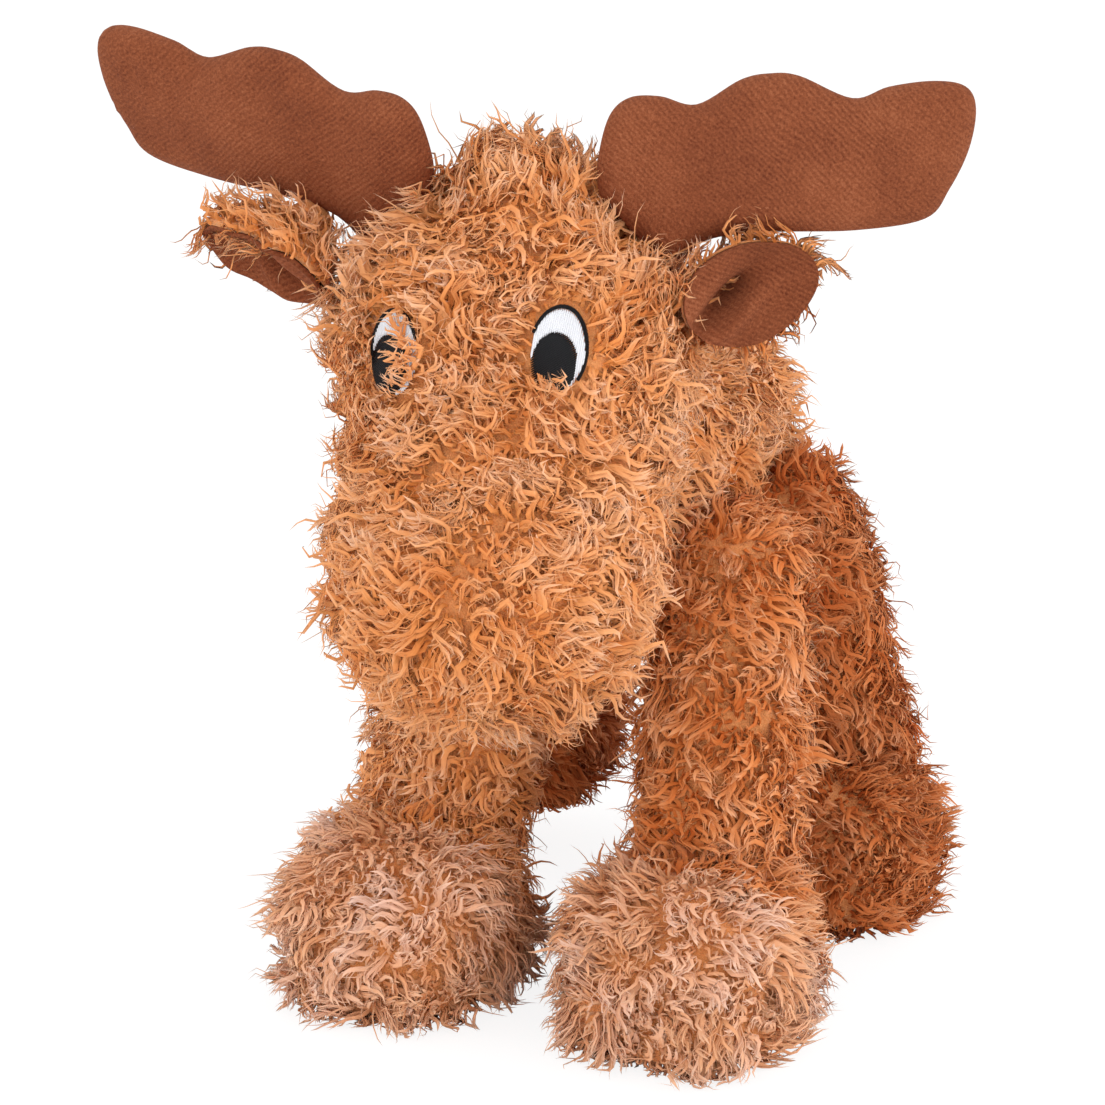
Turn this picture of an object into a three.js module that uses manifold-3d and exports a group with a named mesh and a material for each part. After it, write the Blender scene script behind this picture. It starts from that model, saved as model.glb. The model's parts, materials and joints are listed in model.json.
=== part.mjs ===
// Plush moose: a stuffed toy animal of the deer family that stands on four splayed legs.
// It has a long drooping muzzle, two flat padded antlers with three lobes each, cupped ears
// below them, stitched eyes and block-shaped feet. Every shaggy skin is a cover of pile fabric
// with its own wad of stuffing inside, and is sewn to its neighbour at an open seam.
// Millimetres, +Z up. The animal faces -Y and its own left is +X. It stands on z = 0, and the
// origin is the middle of the bottom of its bounding box.
import * as THREE from "three";
import { mergeVertices } from "three/addons/utils/BufferGeometryUtils.js";
import Module from "manifold-3d";

const wasm = await Module();
wasm.setup();

// Fabric and clearances
const pile_wall = 6;
const felt_wall = 1.6;
const seam_gap = 0.3;
const stuffing_gap = 0.4;
const cut_overrun = 90;
const weld_distance = 0.0001;

// Torso, lying along Y over the legs
const torso_length = 124;
const torso_width = 78;
const torso_height = 76;
const torso_front_y = -62;
const torso_middle_z = 152;

// Neck, the rounded front end of the torso that the head is sewn round
const neck_radius = 30;
const neck_y = -64;
const neck_above_torso_middle = 14;
const neck_opening_radius = 13;

// Head, a long form that hangs down in front of the chest
const head_height = 150;
const head_width = 98;
const head_depth = 84;
const head_bottom_below_neck = 62;
const head_ahead_of_neck = 26;
const muzzle_reach = 26;
const crown_above_neck = head_height - head_bottom_below_neck;
const head_turn = THREE.MathUtils.degToRad(9);

// Legs, each sewn to the side of the torso at a round pocket
const leg_radius = 23;
const leg_wall = 5;
const hip_inner_x = 19;
const hip_x = 37;
const hip_below_torso_middle = 28;
const front_hip_y = -20;
const hind_hip_y = 28;
const hip_z = torso_middle_z - hip_below_torso_middle;
const ankle_radius = 23;
const ankle_above_sole = 34;
const front_ankle_x = 44;
const front_ankle_y = -42;
const hind_left_ankle_x = 42;
const hind_left_ankle_y = 69;
const hind_right_ankle_x = 70;
const hind_right_ankle_y = 84;
const hind_right_sole_z = 20;
const swing_apart = THREE.MathUtils.degToRad(22);
const swing_together = THREE.MathUtils.degToRad(5);

// Feet, chunky blocks that reach forward of the ankle
const foot_length = 77;
const foot_width = 73;
const foot_height = 56;
const foot_ahead_of_ankle = 21;

// Antlers, flat padded palms with three lobes along the top
const antler_length = 101;
const antler_height = 48;
const antler_thickness = 11;
const antler_edge_radius = 5.2;
const antler_root_x = 35.5;
const antler_root_y = -26;
const antler_root_below_crown = 17.5;
const left_antler_rise = THREE.MathUtils.degToRad(2);
const right_antler_rise = THREE.MathUtils.degToRad(8);
const left_antler_lean = THREE.MathUtils.degToRad(0);
const right_antler_lean = THREE.MathUtils.degToRad(24);
const antler_sweep = THREE.MathUtils.degToRad(8);

// Ears, cupped leaves of pile fabric lined with felt
const ear_length = 40;
const ear_width = 27;
const ear_depth = 21;
const ear_wall = 4;
const ear_root_radius = 3.6;
const ear_root_length = 16;
const ear_root_x = 49;
const ear_root_y = -36;
const ear_root_below_crown = 43.5;
const left_ear_rise = THREE.MathUtils.degToRad(20);
const right_ear_rise = THREE.MathUtils.degToRad(24);
const left_ear_sweep = THREE.MathUtils.degToRad(25);
const right_ear_sweep = THREE.MathUtils.degToRad(2);

// Eyes, satin stitch worked on the face
const eye_width = 13;
const eye_height = 21;
const eye_spacing = 43;
const eye_below_crown = 45.5;
const left_eye_raise = 1.2;
const right_eye_raise = -1.9;
const pupil_width = 9.6;
const pupil_height = 13.2;
const pupil_drop = 2.8;
const pupil_towards_nose = 0.8;
const rim_width = 1.3;
const rim_lift = 0.5;
const stitch_thickness = 1.2;

// Squareness of the sections, where 2 is round
const torso_squareness = 2.3;
const head_squareness = 2.15;
const leg_squareness = 2;
const foot_squareness = 2.5;

// Facets
const torso_sides = 20;
const head_sides = 24;
const leg_sides = 12;
const foot_sides = 16;
const ball_sides = 20;
const ball_rings = 10;
const ear_sides = 12;
const ear_rings = 8;
const round_steps = 12;
const eye_steps = 7;
const pad_bevel_steps = 2;
const cover_outline_steps = 2;
const padding_outline_steps = 1;

// Materials
const pile_colour = 0xc98a4e;
const foot_pile_colour = 0xd09a66;
const felt_colour = 0x92502f;
const stuffing_colour = 0xf0ede6;
const white_thread_colour = 0xf4f4f2;
const black_thread_colour = 0x141414;

function pileMaterial() {
  return new THREE.MeshStandardMaterial({ color: pile_colour, roughness: 0.95, metalness: 0 });
}

function footPileMaterial() {
  return new THREE.MeshStandardMaterial({ color: foot_pile_colour, roughness: 0.95, metalness: 0 });
}

function feltMaterial() {
  return new THREE.MeshStandardMaterial({ color: felt_colour, roughness: 0.9, metalness: 0 });
}

function stuffingMaterial() {
  return new THREE.MeshStandardMaterial({ color: stuffing_colour, roughness: 1, metalness: 0 });
}

function whiteThreadMaterial() {
  return new THREE.MeshStandardMaterial({ color: white_thread_colour, roughness: 0.45, metalness: 0 });
}

function blackThreadMaterial() {
  return new THREE.MeshStandardMaterial({ color: black_thread_colour, roughness: 0.4, metalness: 0 });
}

// A closed three.js geometry, moved by a matrix, becomes a solid that can be cut and joined
function solidOf(geometry, matrix = new THREE.Matrix4()) {
  const bare = geometry.clone().applyMatrix4(matrix);
  bare.deleteAttribute("normal");
  bare.deleteAttribute("uv");
  const merged = mergeVertices(bare, weld_distance);
  const corners = new Uint32Array(merged.index.array);
  if (matrix.determinant() < 0) {
    corners.reverse();
  }
  const vertProperties = new Float32Array(merged.attributes.position.array);
  return new wasm.Manifold(new wasm.Mesh({ numProp: 3, vertProperties, triVerts: corners }));
}

function meshOf(name, solid, material) {
  const cut = solid.getMesh();
  const geometry = new THREE.BufferGeometry();
  geometry.setAttribute("position", new THREE.BufferAttribute(cut.vertProperties, 3));
  geometry.setIndex(new THREE.BufferAttribute(cut.triVerts, 1));
  geometry.computeVertexNormals();
  const mesh = new THREE.Mesh(geometry, material);
  mesh.name = name;
  return mesh;
}

// A closed form lofted through rings. A ring has a centre, two half axes and a squareness, where
// 2 is an ellipse and more is boxier. A point at the first and last centre closes the ends.
function loft(rings, sides) {
  const points = [];
  for (const ring of rings) {
    const power = 2 / ring.squareness;
    for (let j = 0; j < sides; j += 1) {
      const angle = (2 * Math.PI * j) / sides;
      const c = Math.sign(Math.cos(angle)) * Math.abs(Math.cos(angle)) ** power;
      const s = Math.sign(Math.sin(angle)) * Math.abs(Math.sin(angle)) ** power;
      points.push(ring.centre.clone().addScaledVector(ring.u, c).addScaledVector(ring.v, s));
    }
  }
  const start = points.length;
  points.push(rings[0].centre, rings[rings.length - 1].centre);
  const last = (rings.length - 1) * sides;
  const faces = [];
  for (let j = 0; j < sides; j += 1) {
    const next = (j + 1) % sides;
    faces.push(start, next, j);
    faces.push(start + 1, last + j, last + next);
    for (let low = 0; low < last; low += sides) {
      const high = low + sides;
      faces.push(low + j, low + next, high + next);
      faces.push(low + j, high + next, high + j);
    }
  }
  const geometry = new THREE.BufferGeometry();
  geometry.setAttribute("position", new THREE.Float32BufferAttribute(points.flatMap((p) => p.toArray()), 3));
  geometry.setIndex(faces);
  return geometry;
}

// A level ring for a form that stands up
function levelRing(x, y, z, half_width, half_depth, squareness) {
  const centre = new THREE.Vector3(x, y, z);
  const u = new THREE.Vector3(half_width, 0, 0);
  const v = new THREE.Vector3(0, half_depth, 0);
  return { centre, u, v, squareness };
}

function ball(radius, centre) {
  const geometry = new THREE.SphereGeometry(radius, ball_sides, ball_rings);
  return solidOf(geometry.translate(centre.x, centre.y, centre.z));
}

// A round bar from one point to another
function barGeometry(radius, from, to) {
  const along = to.clone().sub(from);
  const middle = from.clone().add(to).multiplyScalar(0.5);
  const geometry = new THREE.CylinderGeometry(radius, radius, along.length(), round_steps);
  const turn = new THREE.Quaternion().setFromUnitVectors(new THREE.Vector3(0, 1, 0), along.normalize());
  return geometry.applyQuaternion(turn).translate(middle.x, middle.y, middle.z);
}

// Torso stations from the rump to the neck: shares of the length, the half width, the half
// height, and of the height as a lift of the middle line
const torso_shares = [
  [0.0, 0.3, 0.32, -0.03],
  [0.04, 0.58, 0.6, -0.03],
  [0.12, 0.84, 0.86, -0.02],
  [0.26, 0.97, 0.98, 0.0],
  [0.45, 1.0, 1.0, 0.0],
  [0.62, 0.99, 0.98, 0.02],
  [0.76, 0.88, 0.88, 0.06],
  [0.86, 0.72, 0.74, 0.11],
  [0.92, 0.6, 0.62, 0.14],
];
const neckCentre = new THREE.Vector3(0, neck_y, torso_middle_z + neck_above_torso_middle);

// A faceted hollow ball that clears a turning faceted ball of the neck's radius by a gap
function socketRadius(gap) {
  return (neck_radius + gap) / Math.cos(Math.PI / ball_sides) ** 2;
}

function torsoForm(inset, sides) {
  const shrink = 1 - (2 * inset) / torso_length;
  const middle_y = torso_front_y + torso_length / 2;
  const rings = torso_shares.map(([along, wide, high, lift]) => ({
    centre: new THREE.Vector3(
      0,
      middle_y + torso_length * (0.5 - along) * shrink,
      torso_middle_z + lift * torso_height,
    ),
    u: new THREE.Vector3((wide * torso_width) / 2 - inset, 0, 0),
    v: new THREE.Vector3(0, 0, (high * torso_height) / 2 - inset),
    squareness: torso_squareness,
  }));
  return solidOf(loft(rings, sides)).add(ball(neck_radius - inset, neckCentre));
}

// The four legs, each leaning from its hip to its ankle. The toy is heavy in the head, and its
// right hind leg hangs back and outward, clear of the ground
const legs = [
  { name: "front_left", side: 1, ahead: 1, ankle_x: front_ankle_x, ankle_y: front_ankle_y, sole_z: 0 },
  { name: "front_right", side: -1, ahead: 1, ankle_x: front_ankle_x, ankle_y: front_ankle_y, sole_z: 0 },
  {
    name: "hind_left",
    side: 1,
    ahead: -1,
    ankle_x: hind_left_ankle_x,
    ankle_y: hind_left_ankle_y,
    sole_z: 0,
  },
  {
    name: "hind_right",
    side: -1,
    ahead: -1,
    ankle_x: hind_right_ankle_x,
    ankle_y: hind_right_ankle_y,
    sole_z: hind_right_sole_z,
  },
];

function hipY(leg) {
  return leg.ahead > 0 ? front_hip_y : hind_hip_y;
}

function ankleZ(leg) {
  return leg.sole_z + ankle_above_sole;
}

// The pocket that a leg's top is sewn into: a round hole about the hip, open downward as wide
// as the leg swings, with a flat floor that faces sideways
function hipPocket(leg, grow) {
  const radius = leg_radius + seam_gap + grow;
  const hip = new THREE.Vector2();
  const forward = leg.ahead > 0 ? swing_apart : swing_together;
  const backward = leg.ahead > 0 ? swing_together : swing_apart;
  const front = new THREE.Vector2(-radius, -cut_overrun).rotateAround(hip, -forward);
  const back = new THREE.Vector2(radius, -cut_overrun).rotateAround(hip, backward);
  const shape = new THREE.Shape();
  shape.moveTo(front.x, front.y);
  shape.lineTo(back.x, back.y);
  shape.absarc(0, 0, radius, backward, Math.PI - forward, false);
  const geometry = new THREE.ExtrudeGeometry(shape, {
    depth: cut_overrun,
    bevelEnabled: false,
    curveSegments: round_steps,
  });
  const lean = Math.atan2(leg.ankle_y - hipY(leg), hip_z - ankleZ(leg));
  const sideways = new THREE.Matrix4().makeBasis(
    new THREE.Vector3(0, 1, 0),
    new THREE.Vector3(0, 0, 1),
    new THREE.Vector3(1, 0, 0),
  );
  const place = new THREE.Matrix4()
    .makeScale(leg.side, 1, 1)
    .multiply(new THREE.Matrix4().makeTranslation(hip_inner_x - grow, hipY(leg), hip_z))
    .multiply(new THREE.Matrix4().makeRotationX(lean))
    .multiply(sideways);
  return solidOf(geometry, place);
}

function withoutHipPockets(solid, grow) {
  let cut = solid;
  for (const leg of legs) {
    cut = cut.subtract(hipPocket(leg, grow));
  }
  return cut;
}

function neckOpening() {
  const inside = neckCentre.clone().setY(neck_y + neck_radius);
  const outside = neckCentre.clone().setY(neck_y - neck_radius - pile_wall);
  return solidOf(barGeometry(neck_opening_radius, inside, outside));
}

function torso() {
  const group = new THREE.Group();
  const hollow = withoutHipPockets(torsoForm(pile_wall, torso_sides), pile_wall);
  const cover = withoutHipPockets(torsoForm(0, torso_sides), 0).subtract(hollow).subtract(neckOpening());
  const inset = pile_wall + stuffing_gap;
  const stuffing = withoutHipPockets(torsoForm(inset, torso_sides / 2), inset);
  group.add(meshOf("body_cover", cover, pileMaterial()));
  group.add(meshOf("body_stuffing", stuffing, stuffingMaterial()));
  return group;
}

// Leg, in a frame with its origin at the hip: shares of the way from ankle to hip, and of the
// radius between ankle and hip as a swelling
const leg_shares = [
  [0.0, 0.0],
  [0.3, 0.05],
  [0.65, 0.05],
  [1.0, 0.0],
];
const leg_cap_shares = [0.45, 0.78, 0.96];

function legForm(leg, inset, below, sides) {
  const reach_x = leg.ankle_x - hip_x;
  const reach_y = leg.ankle_y - hipY(leg);
  const reach_z = ankleZ(leg) - hip_z;
  const rings = [];
  if (below > 0) {
    const radius = ankle_radius - inset;
    rings.push(levelRing(reach_x, reach_y, reach_z - below, radius, radius, leg_squareness));
  }
  for (const [up, swell] of leg_shares) {
    const radius = (ankle_radius + (leg_radius - ankle_radius) * up) * (1 + swell) - inset;
    const down = 1 - up;
    rings.push(levelRing(reach_x * down, reach_y * down, reach_z * down, radius, radius, leg_squareness));
  }
  for (const rise of leg_cap_shares) {
    const radius = leg_radius - inset;
    const half = radius * Math.sqrt(1 - rise * rise);
    rings.push(levelRing(0, 0, radius * rise, half, half, leg_squareness));
  }
  const inner_x = hip_inner_x + seam_gap + inset - hip_x;
  const beyond = new THREE.BoxGeometry(cut_overrun, 2 * cut_overrun, 2 * cut_overrun);
  beyond.translate(inner_x - cut_overrun / 2, 0, 0);
  return solidOf(loft(rings, sides)).subtract(solidOf(beyond));
}

// Foot stations from the sole up: shares of the height and of the half length and half width
const foot_shares = [
  [0.0, 0.84],
  [0.07, 0.9],
  [0.22, 0.99],
  [0.45, 1.0],
  [0.68, 0.93],
  [0.85, 0.76],
  [0.96, 0.48],
  [1.0, 0.2],
];

function footForm(leg, inset, sides) {
  const x = leg.ankle_x - hip_x;
  const y = leg.ankle_y - hipY(leg) - foot_ahead_of_ankle;
  const rings = foot_shares.map(([up, size]) => levelRing(
    x,
    y,
    leg.sole_z + inset + up * (foot_height - 2 * inset) - hip_z,
    (size * foot_width) / 2 - inset * size,
    (size * foot_length) / 2 - inset * size,
    foot_squareness,
  ));
  return solidOf(loft(rings, sides));
}

function limb(leg) {
  const group = new THREE.Group();
  group.scale.x = leg.side;
  group.position.set(leg.side * hip_x, hipY(leg), hip_z);
  const leg_hollow = legForm(leg, leg_wall, leg_wall, leg_sides);
  const leg_cover = legForm(leg, 0, 0, leg_sides).subtract(leg_hollow);
  const leg_stuffing = legForm(leg, leg_wall + stuffing_gap, 0, leg_sides / 2);
  const ankle = legForm(leg, -seam_gap, seam_gap, leg_sides);
  const foot_hollow = footForm(leg, pile_wall, foot_sides);
  const foot_cover = footForm(leg, 0, foot_sides).subtract(foot_hollow).subtract(ankle);
  const clear = seam_gap + stuffing_gap;
  const loose_ankle = legForm(leg, -clear, clear, leg_sides);
  const foot_stuffing = footForm(leg, pile_wall + stuffing_gap, foot_sides / 2).subtract(loose_ankle);
  group.add(meshOf(`${leg.name}_leg_cover`, leg_cover, pileMaterial()));
  group.add(meshOf(`${leg.name}_leg_stuffing`, leg_stuffing, stuffingMaterial()));
  group.add(meshOf(`${leg.name}_foot_cover`, foot_cover, footPileMaterial()));
  group.add(meshOf(`${leg.name}_foot_stuffing`, foot_stuffing, stuffingMaterial()));
  return group;
}

// Head stations from the muzzle's end up: shares of the height, the half width, the half depth
// and the muzzle's reach, in a frame with its origin at the neck
const head_shares = [
  [0.0, 0.3, 0.34, 0.92],
  [0.04, 0.6, 0.64, 0.95],
  [0.1, 0.76, 0.82, 1.0],
  [0.19, 0.86, 0.93, 1.0],
  [0.31, 0.9, 0.97, 0.88],
  [0.44, 0.89, 0.95, 0.6],
  [0.55, 0.93, 0.95, 0.3],
  [0.65, 1.0, 1.0, 0.08],
  [0.74, 0.96, 1.0, 0.0],
  [0.83, 0.78, 0.86, 0.0],
  [0.91, 0.54, 0.64, 0.0],
  [0.97, 0.34, 0.4, 0.0],
  [1.0, 0.16, 0.2, 0.0],
];

function headForm(inset, sides) {
  const rings = head_shares.map(([up, wide, deep, reach]) => levelRing(
    0,
    -head_ahead_of_neck - muzzle_reach * reach,
    inset + up * (head_height - 2 * inset) - head_bottom_below_neck,
    (wide * head_width) / 2 - inset * Math.min(1, 2 * wide),
    (deep * head_depth) / 2 - inset * Math.min(1, 2 * deep),
    head_squareness,
  ));
  return solidOf(loft(rings, sides));
}

// Antler outline from the outer end of its root, round the tip and the three lobes, to the inner
// end of the root: shares of its length and height, with the root's middle at zero
const antler_outline_shares = [
  [0.1, -0.2],
  [0.19, -0.03],
  [0.353, 0.016],
  [0.579, 0.022],
  [0.756, 0.081],
  [0.819, 0.243],
  [0.869, 0.459],
  [0.887, 0.676],
  [0.861, 0.795],
  [0.781, 0.827],
  [0.668, 0.8],
  [0.574, 0.741],
  [0.441, 0.865],
  [0.365, 0.881],
  [0.29, 0.849],
  [0.176, 0.719],
  [0.082, 0.766],
  [0.003, 0.76],
  [-0.05, 0.66],
  [-0.082, 0.43],
  [-0.085, 0.23],
];

// The root's rounded edge turns about a line inside it, which holds the antler's own origin
function antlerRoot() {
  const places = antler_outline_shares.map(
    ([along, up]) => new THREE.Vector2(along * antler_length, up * antler_height),
  );
  const outer = places[0];
  const inner = places[places.length - 1];
  const along = outer.clone().sub(inner);
  const width = along.length();
  along.normalize();
  const inward = new THREE.Vector2(-along.y, along.x);
  const middle = inner.clone().add(outer).multiplyScalar(0.5).addScaledVector(inward, antler_edge_radius);
  return { places: places.map((place) => place.clone().sub(middle)), along, width };
}

// A flat pad with a rounded edge inside an outline, as a stack of ever smaller outlines on each
// side of its middle
function padForm(outline, radius, inset, flat) {
  const count = outline.length;
  const inward = outline.map((place, i) => {
    const before = outline[(i + count - 1) % count];
    const after = outline[(i + 1) % count];
    const along = after.clone().sub(before).normalize();
    return new THREE.Vector2(-along.y, along.x);
  });
  const points = [];
  let levels = 0;
  for (const half of [-1, 1]) {
    for (let step = 0; step <= pad_bevel_steps; step += 1) {
      const turn = (Math.PI / 2) * (half < 0 ? 1 - step / pad_bevel_steps : step / pad_bevel_steps);
      const shrink = inset + (radius - inset) * (1 - Math.cos(turn));
      const height = half * (flat / 2 + (radius - inset) * Math.sin(turn));
      outline.forEach((place, i) => {
        const edge = place.clone().addScaledVector(inward[i], shrink);
        points.push(edge.x, edge.y, height);
      });
      levels += 1;
    }
  }
  const top = (levels - 1) * count;
  const faces = [];
  for (const [a, b, c] of THREE.ShapeUtils.triangulateShape(outline, [])) {
    faces.push(a, c, b);
    faces.push(top + a, top + b, top + c);
  }
  for (let low = 0; low < top; low += count) {
    const high = low + count;
    for (let i = 0; i < count; i += 1) {
      const next = (i + 1) % count;
      faces.push(low + i, low + next, high + next);
      faces.push(low + i, high + next, high + i);
    }
  }
  const geometry = new THREE.BufferGeometry();
  geometry.setAttribute("position", new THREE.Float32BufferAttribute(points, 3));
  geometry.setIndex(faces);
  return geometry;
}

function antlerForm(inset, steps) {
  const { places } = antlerRoot();
  const outline = new THREE.SplineCurve(places).getPoints(steps * (places.length - 1));
  const flat = antler_thickness - 2 * antler_edge_radius;
  return solidOf(padForm(outline, antler_edge_radius, inset, flat).rotateX(Math.PI / 2));
}

function antlerRootBar(radius, overrun) {
  const { along, width } = antlerRoot();
  const half = width / 2 + overrun;
  const end = new THREE.Vector3(along.x * half, 0, along.y * half);
  return barGeometry(radius, end.clone().negate(), end);
}

function antlerPlace(rise, lean) {
  const group = new THREE.Group();
  group.position.set(antler_root_x, antler_root_y, crown_above_neck - antler_root_below_crown);
  group.rotation.set(lean, -rise, antler_sweep, "ZYX");
  group.updateMatrix();
  return group;
}

// The mouth of an antler's cover, along its root
const antler_mouth_width_share = 0.6;
const antler_mouth_thickness_share = 0.5;

function antlerMouth() {
  const { along, width } = antlerRoot();
  const mouth = new THREE.BoxGeometry(
    width * antler_mouth_width_share,
    antler_thickness * antler_mouth_thickness_share,
    2 * antler_edge_radius,
  );
  mouth.translate(0, 0, -antler_edge_radius);
  return solidOf(mouth.rotateY(-Math.atan2(along.y, along.x)));
}

function antler(name, rise, lean) {
  const group = antlerPlace(rise, lean);
  const hollow = antlerForm(felt_wall, padding_outline_steps);
  const cover = antlerForm(0, cover_outline_steps).subtract(hollow).subtract(antlerMouth());
  const padding = antlerForm(felt_wall + stuffing_gap, padding_outline_steps);
  group.add(meshOf(`${name}_antler_cover`, cover, feltMaterial()));
  group.add(meshOf(`${name}_antler_padding`, padding, stuffingMaterial()));
  return group;
}

// Ear, in a frame with its origin at its root: the back half of a hollow leaf
const ear_lip_share = 0.15;

function earPlace({ ear_rise, ear_sweep }) {
  const group = new THREE.Group();
  group.position.set(ear_root_x, ear_root_y, crown_above_neck - ear_root_below_crown);
  group.rotation.set(0, -ear_rise, ear_sweep, "ZYX");
  group.updateMatrix();
  return group;
}

function earLeaf(inset) {
  const half_length = ear_length / 2 - inset;
  const geometry = new THREE.SphereGeometry(half_length, ear_sides, ear_rings);
  geometry.scale(1, (ear_depth / 2 - inset) / half_length, (ear_width / 2 - inset) / half_length);
  return solidOf(geometry.translate(ear_length / 2 - ear_root_radius / 2, 0, 0));
}

function earFront() {
  const rim_y = -ear_depth * ear_lip_share;
  const front = new THREE.BoxGeometry(cut_overrun * 2, cut_overrun, cut_overrun);
  return solidOf(front.translate(0, rim_y - cut_overrun / 2, 0));
}

function earRootBar(radius, overrun) {
  const half = ear_root_length / 2 + overrun;
  return barGeometry(radius, new THREE.Vector3(0, 0, -half), new THREE.Vector3(0, 0, half));
}

function ear(flank) {
  const group = earPlace(flank);
  const inside = ear_wall + seam_gap;
  const leaf = earLeaf(0).subtract(earFront());
  const back = leaf.add(solidOf(earRootBar(ear_root_radius, 0))).subtract(earLeaf(ear_wall));
  const lining = earLeaf(inside).subtract(earLeaf(inside + felt_wall)).subtract(earFront());
  group.add(meshOf(`${flank.name}_ear_back`, back, pileMaterial()));
  group.add(meshOf(`${flank.name}_ear_lining`, lining, feltMaterial()));
  return group;
}

// Eyes, thin curved patches on the face
function eyePatch(across, up, half_width, half_height) {
  const shape = new THREE.Shape().absellipse(across, up, half_width, half_height, 0, 2 * Math.PI);
  const geometry = new THREE.ExtrudeGeometry(shape, {
    depth: cut_overrun,
    bevelEnabled: false,
    curveSegments: eye_steps,
  });
  geometry.rotateX(Math.PI / 2);
  geometry.translate(eye_spacing / 2, -head_ahead_of_neck, crown_above_neck - eye_below_crown);
  return solidOf(geometry);
}

function eye({ name, eye_raise }) {
  const group = new THREE.Group();
  const face = headForm(-seam_gap, head_sides);
  const skin = headForm(-seam_gap - stitch_thickness, head_sides).subtract(face);
  const half_width = eye_width / 2;
  const half_height = eye_height / 2;
  const pupil_x = -pupil_towards_nose;
  const pupil_z = eye_raise - pupil_drop;
  const pupil = eyePatch(pupil_x, pupil_z, pupil_width / 2, pupil_height / 2);
  const pupil_hole = eyePatch(pupil_x, pupil_z, pupil_width / 2 + seam_gap, pupil_height / 2 + seam_gap);
  const white = eyePatch(0, eye_raise, half_width, half_height).subtract(pupil_hole);
  const rim_hole = eyePatch(0, eye_raise, half_width + seam_gap, half_height + seam_gap);
  const whole_rim = eyePatch(
    rim_lift,
    eye_raise + rim_lift,
    half_width + rim_width,
    half_height + rim_width,
  );
  const rim = whole_rim.subtract(rim_hole);
  group.add(meshOf(`${name}_eye_white`, skin.intersect(white), whiteThreadMaterial()));
  group.add(meshOf(`${name}_eye_pupil`, skin.intersect(pupil), blackThreadMaterial()));
  group.add(meshOf(`${name}_eye_outline`, skin.intersect(rim), blackThreadMaterial()));
  return group;
}

// What differs between the head's two flanks
const flanks = [
  {
    name: "left",
    side: 1,
    rise: left_antler_rise,
    lean: left_antler_lean,
    ear_rise: left_ear_rise,
    ear_sweep: left_ear_sweep,
    eye_raise: left_eye_raise,
  },
  {
    name: "right",
    side: -1,
    rise: right_antler_rise,
    lean: right_antler_lean,
    ear_rise: right_ear_rise,
    ear_sweep: right_ear_sweep,
    eye_raise: right_eye_raise,
  },
];

// A faceted groove's radius that clears a turning root by the seam gap
function grooveRadius(radius) {
  return (radius + seam_gap) / Math.cos(Math.PI / round_steps);
}

// The grooves in the head that the antlers' and ears' roots are sewn into
function rootGrooves(solid) {
  let cut = solid;
  for (const flank of flanks) {
    const flip = new THREE.Matrix4().makeScale(flank.side, 1, 1);
    const antler_place = antlerPlace(flank.rise, flank.lean).matrix;
    const antler_groove = antlerRootBar(grooveRadius(antler_thickness / 2), antler_edge_radius);
    const ear_groove = earRootBar(grooveRadius(ear_root_radius), seam_gap);
    cut = cut.subtract(solidOf(antler_groove, flip.clone().multiply(antler_place)));
    cut = cut.subtract(solidOf(ear_groove, flip.clone().multiply(earPlace(flank).matrix)));
  }
  return cut;
}

// Head, in a frame with its origin at the neck
function head() {
  const group = new THREE.Group();
  group.position.copy(neckCentre);
  group.rotation.z = head_turn;
  const origin = new THREE.Vector3();
  const socket = ball(socketRadius(seam_gap), origin);
  const hollow = headForm(pile_wall, head_sides);
  const cover = rootGrooves(headForm(0, head_sides)).subtract(hollow).subtract(socket);
  const inner_socket = ball(socketRadius(stuffing_gap), origin);
  const stuffing = rootGrooves(headForm(pile_wall + stuffing_gap, head_sides / 2)).subtract(inner_socket);
  group.add(meshOf("head_cover", cover, pileMaterial()));
  group.add(meshOf("head_stuffing", stuffing, stuffingMaterial()));
  for (const flank of flanks) {
    const half = new THREE.Group();
    half.scale.x = flank.side;
    half.add(antler(flank.name, flank.rise, flank.lean), ear(flank), eye(flank));
    group.add(half);
  }
  return group;
}

const toy = new THREE.Group();
toy.add(torso(), head());
for (const leg of legs) {
  toy.add(limb(leg));
}
toy.updateMatrixWorld(true);
const middle = new THREE.Box3().setFromObject(toy, true).getCenter(new THREE.Vector3());
toy.position.set(-middle.x, -middle.y, 0);

export default toy;
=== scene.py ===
import json
import math

import bpy
import numpy as np
from mathutils import Matrix, Vector
from mathutils.bvhtree import BVHTree
from mathutils.geometry import delaunay_2d_cdt
from mathutils.kdtree import KDTree


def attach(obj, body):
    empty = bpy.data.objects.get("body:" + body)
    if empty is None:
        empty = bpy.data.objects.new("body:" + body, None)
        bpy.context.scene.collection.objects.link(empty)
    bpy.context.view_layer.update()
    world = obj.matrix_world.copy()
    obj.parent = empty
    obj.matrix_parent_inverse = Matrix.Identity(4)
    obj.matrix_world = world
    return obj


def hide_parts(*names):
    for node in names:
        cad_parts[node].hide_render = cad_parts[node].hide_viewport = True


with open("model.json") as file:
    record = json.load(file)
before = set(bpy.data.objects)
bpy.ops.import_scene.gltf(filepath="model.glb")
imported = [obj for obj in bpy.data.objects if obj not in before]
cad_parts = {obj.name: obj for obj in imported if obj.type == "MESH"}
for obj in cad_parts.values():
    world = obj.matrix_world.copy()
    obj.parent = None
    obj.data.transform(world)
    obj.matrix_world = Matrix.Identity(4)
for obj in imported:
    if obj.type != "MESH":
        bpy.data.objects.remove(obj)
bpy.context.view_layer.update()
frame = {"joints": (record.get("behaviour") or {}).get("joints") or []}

# Lengths are in millimetres in the frame of the standing toy, and become metres in the packed
# model's frame when a mesh is made. The lights, the floor and the materials are in metres.
MM = 0.001
JOINTS = {joint["name"]: joint for joint in frame["joints"]}
NECK = np.array([0.0, -64.0, 166.0])
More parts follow.
